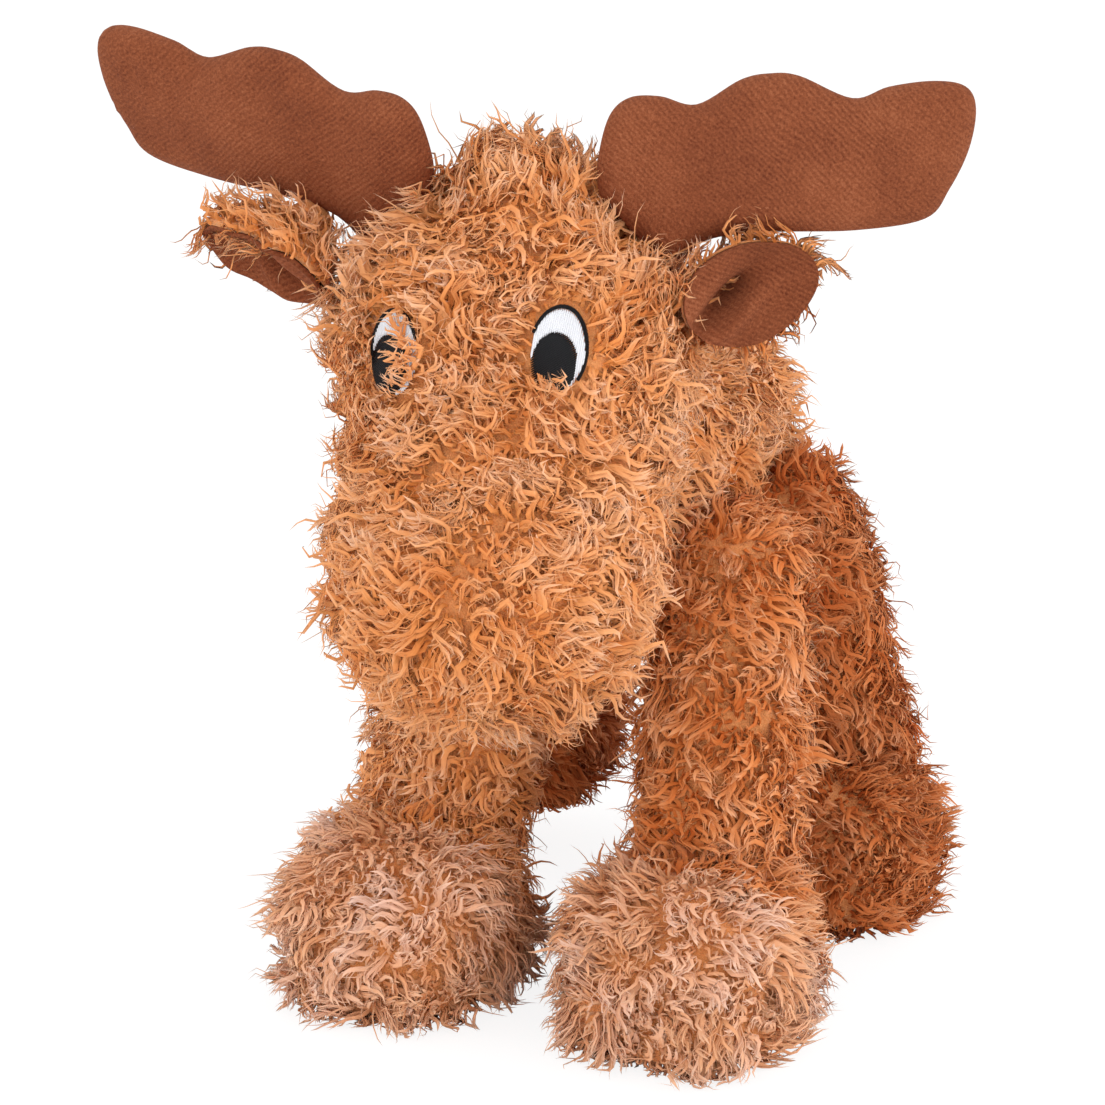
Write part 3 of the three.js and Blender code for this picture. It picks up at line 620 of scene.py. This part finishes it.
def strands(sides, steps, profile, flat, floor, root, clump_root, tuft_root, pull, n, g, length, start, end,
            curl, turns, phase, thick, gather, tone):
    """Closed curly tapering tubes, as points, faces, map and normals, for arrays of strand values.
    A strand bends from its normal n towards g, from the angle start to end. Gather draws it to
    its clump's middle, and pull draws the clump to its tuft's."""
    count = len(root)
    t = np.linspace(0, 1, steps + 1)
    side = unit(np.cross(g, n))
    middle = (t[1:] + t[:-1]) / 2

    def along(share, cos_way, sin_way):
        angle = start[:, None] + (end - start)[:, None] * share[None] ** 0.8
        return cos_way[:, None] * np.cos(angle)[..., None] + sin_way[:, None] * np.sin(angle)[..., None]

    step = along(middle, n, g) * (length[:, None, None] / steps)
    path = np.concatenate([np.zeros((count, 1, 3)), np.cumsum(step, axis=1)], axis=1)
    across = along(t, g, -n)
    swing = phase[:, None] + 2 * np.pi * turns[:, None] * t[None]
    size = curl[:, None] * smoothstep(0.0, 0.5, t)[None]
    path = path + side[:, None] * (size * np.cos(swing))[..., None]
    path = path + across * (0.6 * size * np.sin(swing))[..., None]
    offset, hub = root - clump_root, clump_root - tuft_root
    path = path + tuft_root[:, None] + hub[:, None] * (1 - pull[:, None] * t[None] ** 1.1)[..., None]
    path = path + offset[:, None] * (1 - gather[:, None] * t[None] ** 0.9)[..., None]
    if floor is not None:
        low = floor + 0.12 * np.clip(floor - path[..., 2], 0, 8)
        path[..., 2] = np.maximum(path[..., 2], low)
    tangent = unit(np.gradient(path, axis=1))
    u = unit(side[:, None] - tangent * (tangent * side[:, None]).sum(-1, keepdims=True))
    v = np.cross(tangent, u)
    radius = thick[:, None] * np.interp(t[:-1], [0, 0.3, 0.65, 1.0], profile)[None]
    rings, ways = [], []
    path_start, u, v = path[:, :-1], u[:, :-1], v[:, :-1]
    for k in range(sides):
        c, s = math.cos(2 * math.pi * k / sides), math.sin(2 * math.pi * k / sides)
        rings.append(path_start + u * (radius * c)[..., None] + v * (radius * flat * s)[..., None])
        ways.append(u * c + v * s)
    rings = np.stack(rings, axis=2).reshape(count, steps * sides, 3)
    points = np.concatenate([rings, path[:, -1:]], axis=1).reshape(-1, 3)
    ways = np.stack(ways, axis=2).reshape(count, steps * sides, 3)
    ways = np.concatenate([ways, tangent[:, -1:]], axis=1)
    facing = smoothstep(-0.7, 0.3, (ways * n[:, None]).sum(-1, keepdims=True))
    normals = unit(ways * (1 - SOFTNESS) + n[:, None] * SOFTNESS * facing).reshape(-1, 3)
    each = steps * sides + 1
    last = (steps - 1) * sides
    quads = tube_faces(steps, sides)
    ends = [(last + k, last + (k + 1) % sides, each - 1) for k in range(sides)]
    if sides == 3:
        ends.append((0, 2, 1))
    else:
        quads.append((0, 3, 2, 1))
    base = (np.arange(count) * each)[:, None, None]
    faces = [np.array(quads)[None] + base, np.array(ends)[None] + base]
    map_u = 0.02 + 0.96 * np.concatenate([np.repeat(t[:-1], sides), [1.0]])
    around = 0.03 * np.cos(2 * np.pi * np.arange(sides) / sides)
    map_v = np.concatenate([np.tile(around, steps), [0.0]])
    map_v = np.clip(0.04 + 0.92 * tone[:, None] + map_v[None], 0.01, 0.99)
    return points, faces, np.stack([np.tile(map_u, count), map_v.ravel()], 1), normals


def joined(pieces):
    """Several results of strands as one mesh: points, corners with face starts, map and normals."""
    quads, tris, base = [], [], 0
    for points, faces, _, _ in pieces:
        quads.append(faces[0].reshape(-1) + base)
        tris.append(faces[1].reshape(-1) + base)
        base += len(points)
    quads, tris = np.concatenate(quads), np.concatenate(tris)
    starts = np.concatenate([np.arange(0, len(quads), 4), len(quads) + np.arange(0, len(tris), 3)])
    points, maps, normals = (np.vstack([piece[i] for piece in pieces]) for i in (0, 2, 3))
    return points, (np.concatenate([quads, tris]), starts), maps, normals


WANDER = Waves(5, 30, 3)
FLOW = Waves(6, 13, 3)
PATCHES = Waves(7, 22, 1)


def rooted(skin, spacing, rng, shape, avoid, near, down, pull):
    """Places on a skin for strands: place, normal, size and way to lean."""
    p, n = skin.scatter(spacing, rng)
    keep = np.ones(len(p), bool)
    size = np.ones(len(p))
    for other, margin in avoid:
        keep &= other.depth(p) > margin
    for other, reach in near:
        gap = other.depth(p)
        keep &= gap > 1.0
        size *= 0.5 + 0.5 * smoothstep(1.0, reach, gap)
    push = np.zeros_like(p)
    if shape is not None:
        kept, scale, push = shape(p, n)
        keep &= kept
        size *= scale
    p, n, size, push = p[keep], n[keep], size[keep], push[keep]
    flow = 0.35 * FLOW(p) + 0.5 * WANDER(p) + push + np.array([0, 0, -down])
    flow = flow + 0.45 * rng.normal(size=p.shape)
    if pull is not None:
        flow = flow + pull(p)
    return p, n, size, unit(flow - n * (flow * n).sum(1, keepdims=True))


class Clumps:
    """Values of the clumps on a skin, from which layers of strands are made. Neighbours form tufts."""

    def __init__(self, rng, places, tufts, length, lean, curl, turns, tone, floor, mottle):
        self.rng, self.floor = rng, floor
        self.p, self.n, self.size, self.g = places
        count = len(self.p)
        tree = KDTree(len(tufts[0]))
        for i, place in enumerate(np.hstack(tufts)):
            tree.insert(place[:3] + 3 * place[3:], i)
        tree.balance()
        own = np.array([tree.find(place)[1] for place in self.p + 3 * self.n])
        many = len(tufts[0])
        flow = np.zeros((many, 3))
        np.add.at(flow, own, self.g)
        flow = unit(unit(flow)[own] * 0.8 + self.g * 0.5)
        self.g = unit(flow - self.n * (flow * self.n).sum(1, keepdims=True))
        self.tuft = tufts[0][own] - tufts[1][own] * 0.6
        self.pull = rng.uniform(0.25, 0.65, many)[own]
        self.length = length * self.size * rng.uniform(0.85, 1.15, many)[own]
        self.length = self.length * rng.uniform(0.75, 1.15, count)
        self.curl = curl * rng.uniform(0.5, 1.4, count)
        self.turns = turns * (rng.uniform(0.7, 1.3, many) * rng.choice([-1, 1], many))[own]
        self.phase = rng.uniform(0, 2 * np.pi, many)[own] + rng.normal(0, 0.45, count)
        self.start = np.radians(lean[0] + rng.normal(0, 10, count))
        self.end = np.radians(lean[1] + rng.normal(0, 14, many)[own] + rng.normal(0, 12, count))
        patch = 0.16 * PATCHES(self.p)[:, 0] + rng.normal(0, 0.13, many)[own]
        self.tone = tone + mottle * patch + rng.normal(0, 0.06, count)

    def layer(self, i, thick, spread, gather, loose, light, sides=4, steps=7, flat=0.5):
        """Strands on the clumps i. Loose ones leave the clump's way."""
        rng = self.rng
        count = len(i)
        side = unit(np.cross(self.g[i], self.n[i]))
        around = rng.uniform(0, 2 * np.pi, count)
        out = spread * (0.6 + 0.4 * rng.random(count))
        base = self.p[i] - self.n[i] * ROOT_DEPTH
        root = base + side * (out * np.cos(around))[:, None] + self.g[i] * (out * np.sin(around))[:, None]
        drift = rng.normal(size=(count, 3)) * 0.45 * loose
        length = self.length[i] * (1 + loose * rng.uniform(-0.35, 0.2, count)) * rng.uniform(0.9, 1.08, count)
        start = self.start[i] + loose * rng.normal(0, 0.25, count)
        end = self.end[i] + loose * rng.normal(0, 0.35, count)
        curl = self.curl[i] * (1 + loose * rng.uniform(-0.5, 0.6, count))
        turns = self.turns[i] * (1 + loose * rng.uniform(-0.3, 0.4, count))
        phase = self.phase[i] + loose * rng.normal(0, 1.2, count)
        thick = thick * rng.uniform(0.75, 1.2, count) * np.sqrt(self.size[i])
        gather = gather * rng.uniform(0.8, 1.1, count)
        tone = np.clip(self.tone[i] + light + rng.normal(0, 0.05, count), 0, 1)
        profile = LOCK_PROFILE if sides > 3 else FINE_PROFILE
        return strands(sides, steps, profile, flat, self.floor, root, base, self.tuft[i], self.pull[i],
                       self.n[i], unit(self.g[i] + drift), length, start, end, curl, turns, phase, thick,
                       gather, tone)


def grow(name, body, skin, material, seed, spacing, length, lean=(22, 82), curl=1.8, turns=1.1, lock=0.85,
         fine=0.22, down=0.35, shape=None, avoid=(), near=(), floor=None, parts=1, pull=None, tuft=7.5,
         ground=1.95):
    """Grows long locks with finer strands on them over short under-pile, in pieces that ride on a
    body. Tuft and ground are the spacings of the tufts and of the under-pile."""
    rng = np.random.default_rng(seed)
    tufts = skin.scatter(tuft, rng)
    tall = Clumps(rng, rooted(skin, spacing, rng, shape, avoid, near, down, pull), tufts,
                  length, lean, curl, turns, TONE, floor, 1.0)
    under = Clumps(rng, rooted(skin, ground, rng, shape, avoid, near, down, pull), tufts,
                   0.5 * length, (lean[0], lean[1] - 8), 0.8 * curl, 0.8 * turns, TONE - 0.15, floor, 0.6)
    under.pull[:] = 0.0

    def order(p):
        middle = skin.points.mean(0)
        return np.arctan2(p[:, 0] - middle[0], p[:, 1] - middle[1])

    cuts = np.quantile(order(tall.p), np.linspace(0, 1, parts + 1))
    cuts[0], cuts[-1] = -4, 4
    thin = {"sides": 3, "steps": 6, "flat": 1.0}
    for part in range(parts):
        locks, lows = (np.flatnonzero((order(c.p) >= cuts[part]) & (order(c.p) < cuts[part + 1]))
                       for c in (tall, under))
        # The fine strands' tone is lifted as painted highlight
        points, faces, uv, normals = joined([
            tall.layer(locks, lock, 0.0, gather=0.5, loose=0.0, light=-0.02),
            tall.layer(locks, lock * 0.8, spacing * 0.6, gather=0.4, loose=0.8, light=-0.05),
            tall.layer(np.repeat(locks, 3), fine, lock * 1.1, gather=0.85, loose=0.25, light=0.1, **thin),
            tall.layer(np.repeat(locks, 2), fine, spacing * 0.6, gather=0.6, loose=0.9, light=0.06, **thin),
            under.layer(lows, 0.7, 0.0, gather=0.0, loose=0.0, light=-0.05, sides=3, steps=4, flat=0.8),
        ])
        obj = make_mesh(f"{name}_{part + 1}" if parts > 1 else name, points, faces, material,
                        {"OFBake": uv}, normals)
        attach(obj, body)


# Skins under the pile

def piece(name, body, points, faces, material, slot, nodes, uv=None, fill=None):
    """A form that stands for nodes of the part. Its fill is not used."""
    obj = make_mesh(name, points, faces, material, uv)
    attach(obj, body)
    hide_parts(*nodes)


def lumpy(skin, seed, amount):
    skin.swell(amount * Waves(seed, 28)(skin.points)[:, 0])


def hip_pockets(points):
    """The body's points, pressed in where the legs lie on it."""
    points = points.copy()
    for side, hip_y, _, ankle_y, sole_z in LEGS.values():
        hip = np.array([hip_y, HIP_Z])
        down = unit(np.array([ankle_y - hip_y, sole_z + ANKLE_RISE - HIP_Z]))
        rel = points[:, 1:] - hip
        along = np.clip(rel @ down, 0, None)
        away = np.linalg.norm(rel - along[:, None] * down, axis=1)
        wall = POCKET_X + 30 * smoothstep(*POCKET_EDGE, away)
        own = points[:, 0] * side > 0
        points[:, 0] = np.where(own, side * np.minimum(np.abs(points[:, 0]), wall), points[:, 0])
    return points


def head_form():
    """The head, raised under the eyes and hollowed where the neck goes in."""
    points, faces = head_points(BODY_INSET)
    measure, _ = eye_measure(points)
    lift = EYE_LIFT * (1 - smoothstep(1.0, 2.1, measure))
    points = points + Skin(points, faces).normals * lift[:, None]
    away = np.hypot(points[:, 0], points[:, 2])
    pocket = (points[:, 1] > -24) & (away < NECK_POCKET)
    points[pocket, 1] = -np.sqrt(np.clip(NECK_POCKET ** 2 - away[pocket] ** 2, 0, None)) * 0.98
    return Skin(moved(HEAD, points), faces)


torso = torso_skin(BODY_INSET)
lumpy(torso, 11, 0.8)
torso_round = Skin(torso.points.copy(), torso.faces)
torso.points = hip_pockets(torso.points)
torso.update()
head_skin = head_form()
face_surface = Skin(*head_points(-STITCH_SEAT))
legs = {leg: leg_skin(leg, LEG_INSET) for leg in LEGS}
feet = {leg: foot_skin(leg, FOOT_INSET) for leg in LEGS}
for number, leg in enumerate(LEGS):
    lumpy(legs[leg], 20 + number, 0.7)
    lumpy(feet[leg], 30 + number, 1.0)
    feet[leg].points[:, 2] = np.maximum(feet[leg].points[:, 2], LEGS[leg][4] + SOLE_ROOM)
    feet[leg].update()

for name, body, skin in (("body", "torso", torso), ("head", "head", head_skin)):
    piece(f"{name}_skin", body, skin.points, skin.faces, BACKING, "pile",
          [f"{name}_cover", f"{name}_stuffing"], fill=0.8)
for leg in LEGS:
    for part, skin, slot in (("leg", legs[leg], "pile"), ("foot", feet[leg], "foot_pile")):
        piece(f"{leg}_{part}_skin", f"{leg}_leg", skin.points, skin.faces, BACKING, slot,
              [f"{leg}_{part}_cover", f"{leg}_{part}_stuffing"], fill=0.7 if part == "leg" else 0.8)


# Antlers

antlers = {}
for flank in FLANKS:
    points, faces, cloth = antler_form(flank)
    antlers[flank] = Skin(moved(antler_matrix(flank), points), faces)
    piece(f"{flank}_antler_pad", f"{flank}_antler", antlers[flank].points, antlers[flank].faces, FELT,
          "felt", [f"{flank}_antler_cover", f"{flank}_antler_padding"], {"cloth": cloth}, fill=0.6)


# Ears

def ear_grid(rows, columns):
    """Unit disc places in rings, from the middle out, with faces."""
    flat = [(0.0, 0.0)]
    turns = [2 * math.pi * c / columns for c in range(columns)]
    for r in range(1, rows + 1):
        radius = math.sin(math.pi / 2 * r / rows)
        flat += [(radius * math.cos(a), radius * math.sin(a)) for a in turns]
    faces = [(0, 1 + c, 1 + (c + 1) % columns) for c in range(columns)]
    for r in range(1, rows):
        low, high = 1 + (r - 1) * columns, 1 + r * columns
        for c in range(columns):
            d = (c + 1) % columns
            faces.append((low + c, high + c, high + d, low + d))
    return np.array(flat), faces


def ear_sheet(flank, half_x, half_z, rim_y, depth, thick, crease, fold):
    """A cupped leaf of some thickness in the ear's frame, with a crease near its root. Its front
    faces -Y, and fold rolls its lips in over the crease."""
    side, lean = FLANKS[flank]["side"], FLANKS[flank]["ear_lean"]
    flat, faces = ear_grid(EAR_ROWS, EAR_COLUMNS)
    x = half_x * flat[:, 0]
    z = half_z * flat[:, 1] * (1 - 0.1 * flat[:, 0])
    r = np.hypot(flat[:, 0], flat[:, 1])
    y = rim_y + depth * (1 - r ** 2.4)
    inner = 1 - r ** 6
    slant = z - 0.4 * (x + 6)
    y = y + crease * np.exp(-(slant / 2.3) ** 2 - ((x + 3) / np.where(x < -3, 16.0, 5.0)) ** 2)
    y = y - fold * 4.0 * np.exp(-((slant - 6.8) / 4.2) ** 2 - ((x + 9) / 8) ** 2) * inner
    y = y - fold * 7.5 * np.exp(-((slant + 6.0) / 3.0) ** 2 - ((x + 7) / 11) ** 2) * inner
    y = y + 0.5 * Waves(60 + side, 12)(np.column_stack([x, y, z]))[:, 0]
    front = np.column_stack([x, y, z])
    back = np.column_stack([x, y + thick, z])
    both = np.vstack([front, back]) @ turn("X", lean).T + [EAR_MIDDLE, 0, 0]
    count = len(front)
    closed = [tuple(reversed(f)) for f in faces] + [tuple(i + count for i in f) for f in faces]
    rim = range(count - EAR_COLUMNS, count)
    for a, b in zip(rim, [*rim[1:], rim[0]]):
        closed.append((a, b, b + count, a + count))
    return both, closed


ears = {}
for flank in FLANKS:
    place = ear_matrix(flank)
    points, faces = ear_sheet(flank, half_x=18.6, half_z=13.0, rim_y=-3.0, depth=9.2, thick=2.4,
                              crease=11.0, fold=0.0)
    ears[flank] = Skin(moved(place, points), faces)
    piece(f"{flank}_ear_skin", f"{flank}_ear", ears[flank].points, ears[flank].faces, BACKING, "pile",
          [f"{flank}_ear_back"], fill=0.3)
    points, faces = ear_sheet(flank, half_x=18.4, half_z=12.9, rim_y=-4.8, depth=6.0, thick=1.4,
                              crease=8.5, fold=0.9)
    lining = Skin(moved(place, points), faces)
    piece(f"{flank}_ear_felt", f"{flank}_ear", lining.points, lining.faces, FELT, "felt",
          [f"{flank}_ear_lining"], {"cloth": points[:, [0, 2]] * MM})


# Eyes in satin stitch

def on_face(x, z, out):
    """Points on the face at x and z in the head's frame, lifted off it."""
    made = []
    for a, b in zip(x, z):
        hit, normal, _, _ = face_surface.tree.ray_cast(Vector((a, -200, b)), Vector((0, 1, 0)))
        made.append(np.array(hit) + np.array(normal) * out)
    return np.array(made)


def stitches(name, rows, out, thick, material, nodes, slot):
    """Each stitch is a rounded tube of thread over the face from one place to another."""
    points, faces, uv = [], [], []
    sides, steps = 6, 9
    for start, end in rows:
        t = np.linspace(0, 1, steps)
        x = start[0] + (end[0] - start[0]) * t
        z = start[1] + (end[1] - start[1]) * t
        crown = np.sqrt(np.clip(1 - (2 * t - 1) ** 6, 0, 1))
        centre = on_face(x, z, out) + np.array([0, -1, 0]) * (0.35 * crown)[:, None]
        way = unit(np.gradient(centre, axis=0))
        side = unit(np.cross(way, np.array([0.0, -1.0, 0.0])))
        up = np.cross(side, way)
        base = len(points)
        for i in range(steps):
            r = thick * (0.35 + 0.65 * crown[i])
            for k in range(sides):
                a = 2 * math.pi * k / sides
                points.append(centre[i] + side[i] * r * math.cos(a) + up[i] * r * 0.75 * math.sin(a))
                uv.append((t[i], k / sides))
        faces += [tuple(base + i for i in quad) for quad in tube_faces(steps, sides)]
        faces.append(tuple(base + k for k in reversed(range(sides))))
        faces.append(tuple(base + (steps - 1) * sides + k for k in range(sides)))
    piece(name, "head", moved(HEAD, np.array(points)), faces, material, slot, nodes,
          {"OFBake": np.array(uv)})


def oval_rows(cx, cz, half_w, half_h, slant, hole=None):
    """Parallel stitches that fill an oval, cut where a hole is."""
    rows = []
    way = np.array([math.sin(slant), math.cos(slant)])
    across = np.array([way[1], -way[0]])
    reach = max(half_w, half_h) * 1.2
    for s in np.arange(-reach, reach, STITCH_PITCH):
        t = np.linspace(-reach, reach, 240)
        place = np.array([cx, cz]) + across * s + way * t[:, None]
        inside = ((place[:, 0] - cx) / half_w) ** 2 + ((place[:, 1] - cz) / half_h) ** 2 < 1
        if hole is not None:
            hx, hz, hw, hh = hole
            inside &= ((place[:, 0] - hx) / hw) ** 2 + ((place[:, 1] - hz) / hh) ** 2 > 1
        ids = np.flatnonzero(inside)
        for run in np.split(ids, np.flatnonzero(np.diff(ids) > 1) + 1):
            if len(run) > 6:
                rows.append((place[run[0]], place[run[-1]]))
    return rows


for flank in FLANKS:
    side = FLANKS[flank]["side"]
    cx, cz = side * EYE_X, FLANKS[flank]["eye_z"]
    px, pz = cx - FLANKS[flank]["pupil_shift"], cz - PUPIL_DROP
    white = oval_rows(cx, cz, EYE_W, EYE_H, side * 0.12, (px, pz, PUPIL_W, PUPIL_H))
    pupil = oval_rows(px, pz, PUPIL_W + 0.4, PUPIL_H + 0.4, side * 1.0)
    rim = []
    for a in np.arange(*RIM_ARC):
        c, s = math.cos(a), math.sin(a)
        rim.append((np.array([cx + side * (EYE_W - 0.2) * c, cz + (EYE_H - 0.2) * s]),
                    np.array([cx + side * (EYE_W + 0.7) * c, cz + (EYE_H + 0.7) * s])))
    stitches(f"{flank}_eye_white_stitches", white, 0.5, 0.32, WHITE, [f"{flank}_eye_white"], "white_thread")
    stitches(f"{flank}_eye_pupil_stitches", pupil, 0.7, 0.34, BLACK, [f"{flank}_eye_pupil"], "black_thread")
    stitches(f"{flank}_eye_rim_stitches", rim, 0.6, 0.22, BLACK, [f"{flank}_eye_outline"], "black_thread")


# Where the pile grows, and which way

def head_shape(p, n):
    """Keeps the pile off the eyes, combs it away from them and out from the muzzle, and makes it
    stand up on the crown and hang over the antlers' roots."""
    back = np.linalg.inv(HEAD)
    local = moved(back, p)
    measure, side = eye_measure(local)
    rise = local[:, 2] - eye_height(side)
    inward = (side < 0) * (local[:, 0] + EYE_X)
    keep = (measure > 1.0) | (inward > 3.4 + 0.7 * np.minimum(rise + 2, 0))
    close = 1 - smoothstep(1.0, 1.6, measure)
    centre = np.stack([side * EYE_X, local[:, 1], eye_height(side)], 1)
    nose_side = smoothstep(-2.0, 3.0, inward)
    over = smoothstep(-3.0, -9.0, rise)
    away = unit(local - centre) * (close * (0.5 - 1.0 * over - 0.5 * nose_side))[:, None]
    scale = 1 - close * (0.36 + 0.04 * over - 0.25 * nose_side)
    crown = smoothstep(66.0, 84.0, local[:, 2])
    away[:, 2] += 3.0 * crown
    scale = scale * (1 + 0.3 * crown)
    over_antlers = smoothstep(12, 22, abs(local[:, 0])) * smoothstep(36, 50, local[:, 2])
    over_antlers *= smoothstep(-10, -24, local[:, 1])
    over_antlers *= np.where(local[:, 0] < 0, 1.0, 0.35 + 0.5 * smoothstep(26, 34, local[:, 0]))
    away += np.stack([1.8 * side, -0.5 + 0 * side, 1.2 + 0 * side], 1) * over_antlers[:, None]
    scale = scale * (1 + 0.35 * over_antlers)
    muzzle = np.array([0.0, -90.0, -22.0])
    out = unit(local - muzzle)
    strength = 0.8 * smoothstep(30, -5, local[:, 2]) * (local[:, 1] < -30)
    push = away + out * strength[:, None]
    return keep, scale, push @ HEAD[:3, :3].T


def foot_part(leg, collar):
    """The collar of a foot round its ankle, or the foot without it."""
    def shape(p, n):
        near = legs[leg].depth(p) < COLLAR_REACH
        return near if collar else ~near, np.ones(len(p)), np.zeros_like(p)

    return shape


def outward_from(centre):
    def spread(p):
        out = p - centre
        out[:, 2] *= 0.4
        return 0.9 * unit(out)

    return spread


def ear_shape(flank):
    """Keeps the pile on the back and rim of an ear, and combs it to the tip and over the rim."""
    back = np.linalg.inv(ear_matrix(flank))

    def shape(p, n):
        lean = turn("X", -FLANKS[flank]["ear_lean"]).T
        local = moved(back, p) @ lean
        normal = n @ back[:3, :3].T @ lean
        lower = smoothstep(2.0, -6.0, local[:, 2])
        front = -0.75 if flank == "right" else -0.4
        keep = (normal[:, 1] > front + 0.5 * lower) & (local[:, 0] > 1)
        top = smoothstep(0.2, 0.8, normal[:, 2])
        tipward = np.zeros_like(p)
        tipward[:, 0] = 1.2
        tipward[:, 1:] = normal[:, 1:] * [0.8, 1.2]
        return keep, 1 - (0.25 if flank == "left" else 0) * top, tipward @ ear_matrix(flank)[:3, :3].T

    return shape


head_near = [(antlers["left"], 4.0), (antlers["right"], 2.0), (ears["left"], 4.0), (ears["right"], 4.0)]
grow("head_pile", "head", head_skin, PILE, 101, spacing=2.75, length=12.0, lean=(18, 80), curl=1.9,
     turns=1.35, lock=0.78, fine=0.21, shape=head_shape, near=head_near, avoid=[(torso_round, -2.0)],
     parts=8, down=0.15, tuft=7.2, ground=1.8)
grow("body_pile", "torso", torso, PILE, 102, spacing=3.1, length=12.5, down=0.45, parts=4,
     avoid=[(head_skin, -2.0)] + [(legs[leg], -1.0) for leg in LEGS])
for number, leg in enumerate(LEGS):
    hind = leg.startswith("hind")
    # The front-left leg and the hind legs wear darker copies of the pile, as painted shade
    cover = {"front_right": PILE, "front_left": SHADED_LEG_PILE}.get(leg, SHADED_HIND_PILE)
    floor = LEGS[leg][4] + PILE_ROOM
    grow(f"{leg}_leg_pile", f"{leg}_leg", legs[leg], cover, 110 + number, spacing=3.1, length=11.5,
         lean=(20, 84), avoid=[(torso_round, 0.5), (feet[leg], -1.0)], down=0.5, parts=2)
    if not hind:
        grow(f"{leg}_ankle_pile", f"{leg}_leg", feet[leg], cover, 140 + number, spacing=2.9, length=11.0,
             lean=(16, 76), down=1.0, floor=floor, shape=foot_part(leg, collar=True),
             avoid=[(legs[leg], -0.5)])
    # The hind feet wear the darker copy of the pile too, as painted shade
    grow(f"{leg}_foot_pile", f"{leg}_leg", feet[leg], SHADED_HIND_PILE if hind else FOOT_PILE, 120 + number,
         spacing=2.9, length=11.5, lean=(14, 66), curl=1.3, lock=0.8, down=0.15, floor=floor, parts=2,
         shape=None if hind else foot_part(leg, collar=False), avoid=[(legs[leg], -0.5)],
         pull=outward_from(feet[leg].points.mean(0)))
for number, flank in enumerate(FLANKS):
    grow(f"{flank}_ear_pile", f"{flank}_ear", ears[flank], PILE, 130 + number, spacing=2.8, length=12.0,
         lean=(16, 72), shape=ear_shape(flank), avoid=[(head_skin, -3.0)], down=0.1,
         near=[(antlers[flank], 3.0)], lock=0.66)


# Stage: in metres, but for the camera's target

FLOOR_REACH, FLOOR_GLOW, GLOW_SHARE = 8, 1.08, 0.8
SKY_LIGHT, SKY_SEEN = 1.02, 1.0
CAMERA_AZIMUTH, CAMERA_ELEVATION, CAMERA_DISTANCE = 24, 16, 1.1
CAMERA_TARGET = np.array([3.5, -66.0, 137.5])
FOCAL_PIXELS, PHOTO_PIXELS, SENSOR_WIDTH = 4000, 1105, 36


def white_floor():
    """White paper, which the camera sees mostly as a glow with faint shadows."""
    mesh = bpy.data.meshes.new("floor")
    corners = [(x * FLOOR_REACH, y * FLOOR_REACH, 0) for x, y in ((-1, -1), (1, -1), (1, 1), (-1, 1))]
    mesh.from_pydata(corners, [], [(0, 1, 2, 3)])
    material = bpy.data.materials.new("floor_paper")
    material.use_nodes = True
    material.node_tree.nodes.clear()
    m = Nodes(material.node_tree)
    seen = m.node("ShaderNodeLightPath").outputs["Is Camera Ray"]
    paper = m.node("ShaderNodeBsdfDiffuse", {"Color": (0.93, 0.93, 0.93, 1)}).outputs[0]
    glow = m.node("ShaderNodeEmission", {"Strength": FLOOR_GLOW}).outputs[0]
    share = m.maths("MULTIPLY", seen, GLOW_SHARE)
    both = m.node("ShaderNodeMixShader", {0: share, 1: paper, 2: glow}).outputs[0]
    m.node("ShaderNodeOutputMaterial", {"Surface": both})
    mesh.materials.append(material)
    placed("floor", mesh)


def white_sky():
    """A white background, which lights the toy a little more than it shows."""
    world = bpy.data.worlds.new("studio")
    bpy.context.scene.world = world
    world.use_nodes = True
    m = Nodes(world.node_tree)
    ray = m.node("ShaderNodeLightPath").outputs
    seen = m.maths("MAXIMUM", ray["Is Camera Ray"], ray["Is Glossy Ray"])
    seen = m.maths("MAXIMUM", seen, ray["Is Transmission Ray"])
    level = m.node("ShaderNodeMapRange", {"Value": seen, "To Min": SKY_LIGHT, "To Max": SKY_SEEN})
    background = m.tree.nodes["Background"]
    background.inputs["Color"].default_value = (1, 1, 1, 1)
    m.tree.links.new(level.outputs["Result"], background.inputs["Strength"])


def area_light(name, place, target, size, power):
    light = bpy.data.lights.new(name, "AREA")
    light.shape = "DISK"
    light.size = size
    light.energy = power
    obj = placed(name, light)
    obj.location = place
    obj.rotation_euler = (Vector(target) - Vector(place)).to_track_quat("-Z", "Y").to_euler()


def camera():
    """The photograph's camera, found from where the feet stand on the floor."""
    azimuth, elevation = math.radians(CAMERA_AZIMUTH), math.radians(CAMERA_ELEVATION)
    ca, sa, ce, se = math.cos(azimuth), math.sin(azimuth), math.cos(elevation), math.sin(elevation)
    back = Vector((sa * ce, -ca * ce, se))
    right = Vector((ca, sa, 0))
    up = back.cross(right)
    target = Vector(((CAMERA_TARGET + SHIFT) * MM).tolist())
    data = bpy.data.cameras.new("camera")
    data.sensor_width = SENSOR_WIDTH
    data.lens = SENSOR_WIDTH * FOCAL_PIXELS / PHOTO_PIXELS
    data.clip_start = 0.05
    data.clip_end = 50
    obj = placed("camera", data)
    rotation = Matrix((right, up, back)).transposed().to_4x4()
    obj.matrix_world = Matrix.Translation(target + back * CAMERA_DISTANCE) @ rotation
    bpy.context.scene.camera = obj


white_floor()
white_sky()
camera()
area_light("key", (0.3, -1.5, 0.8), (0, 0, 0.13), size=1.6, power=4.5)
area_light("left_fill", (-1.2, -1.0, 0.5), (0, 0, 0.12), size=1.2, power=3)
area_light("right_fill", (1.4, -0.3, 0.8), (0, 0, 0.15), size=1.2, power=7)
bpy.context.scene.view_settings.view_transform = "Standard"
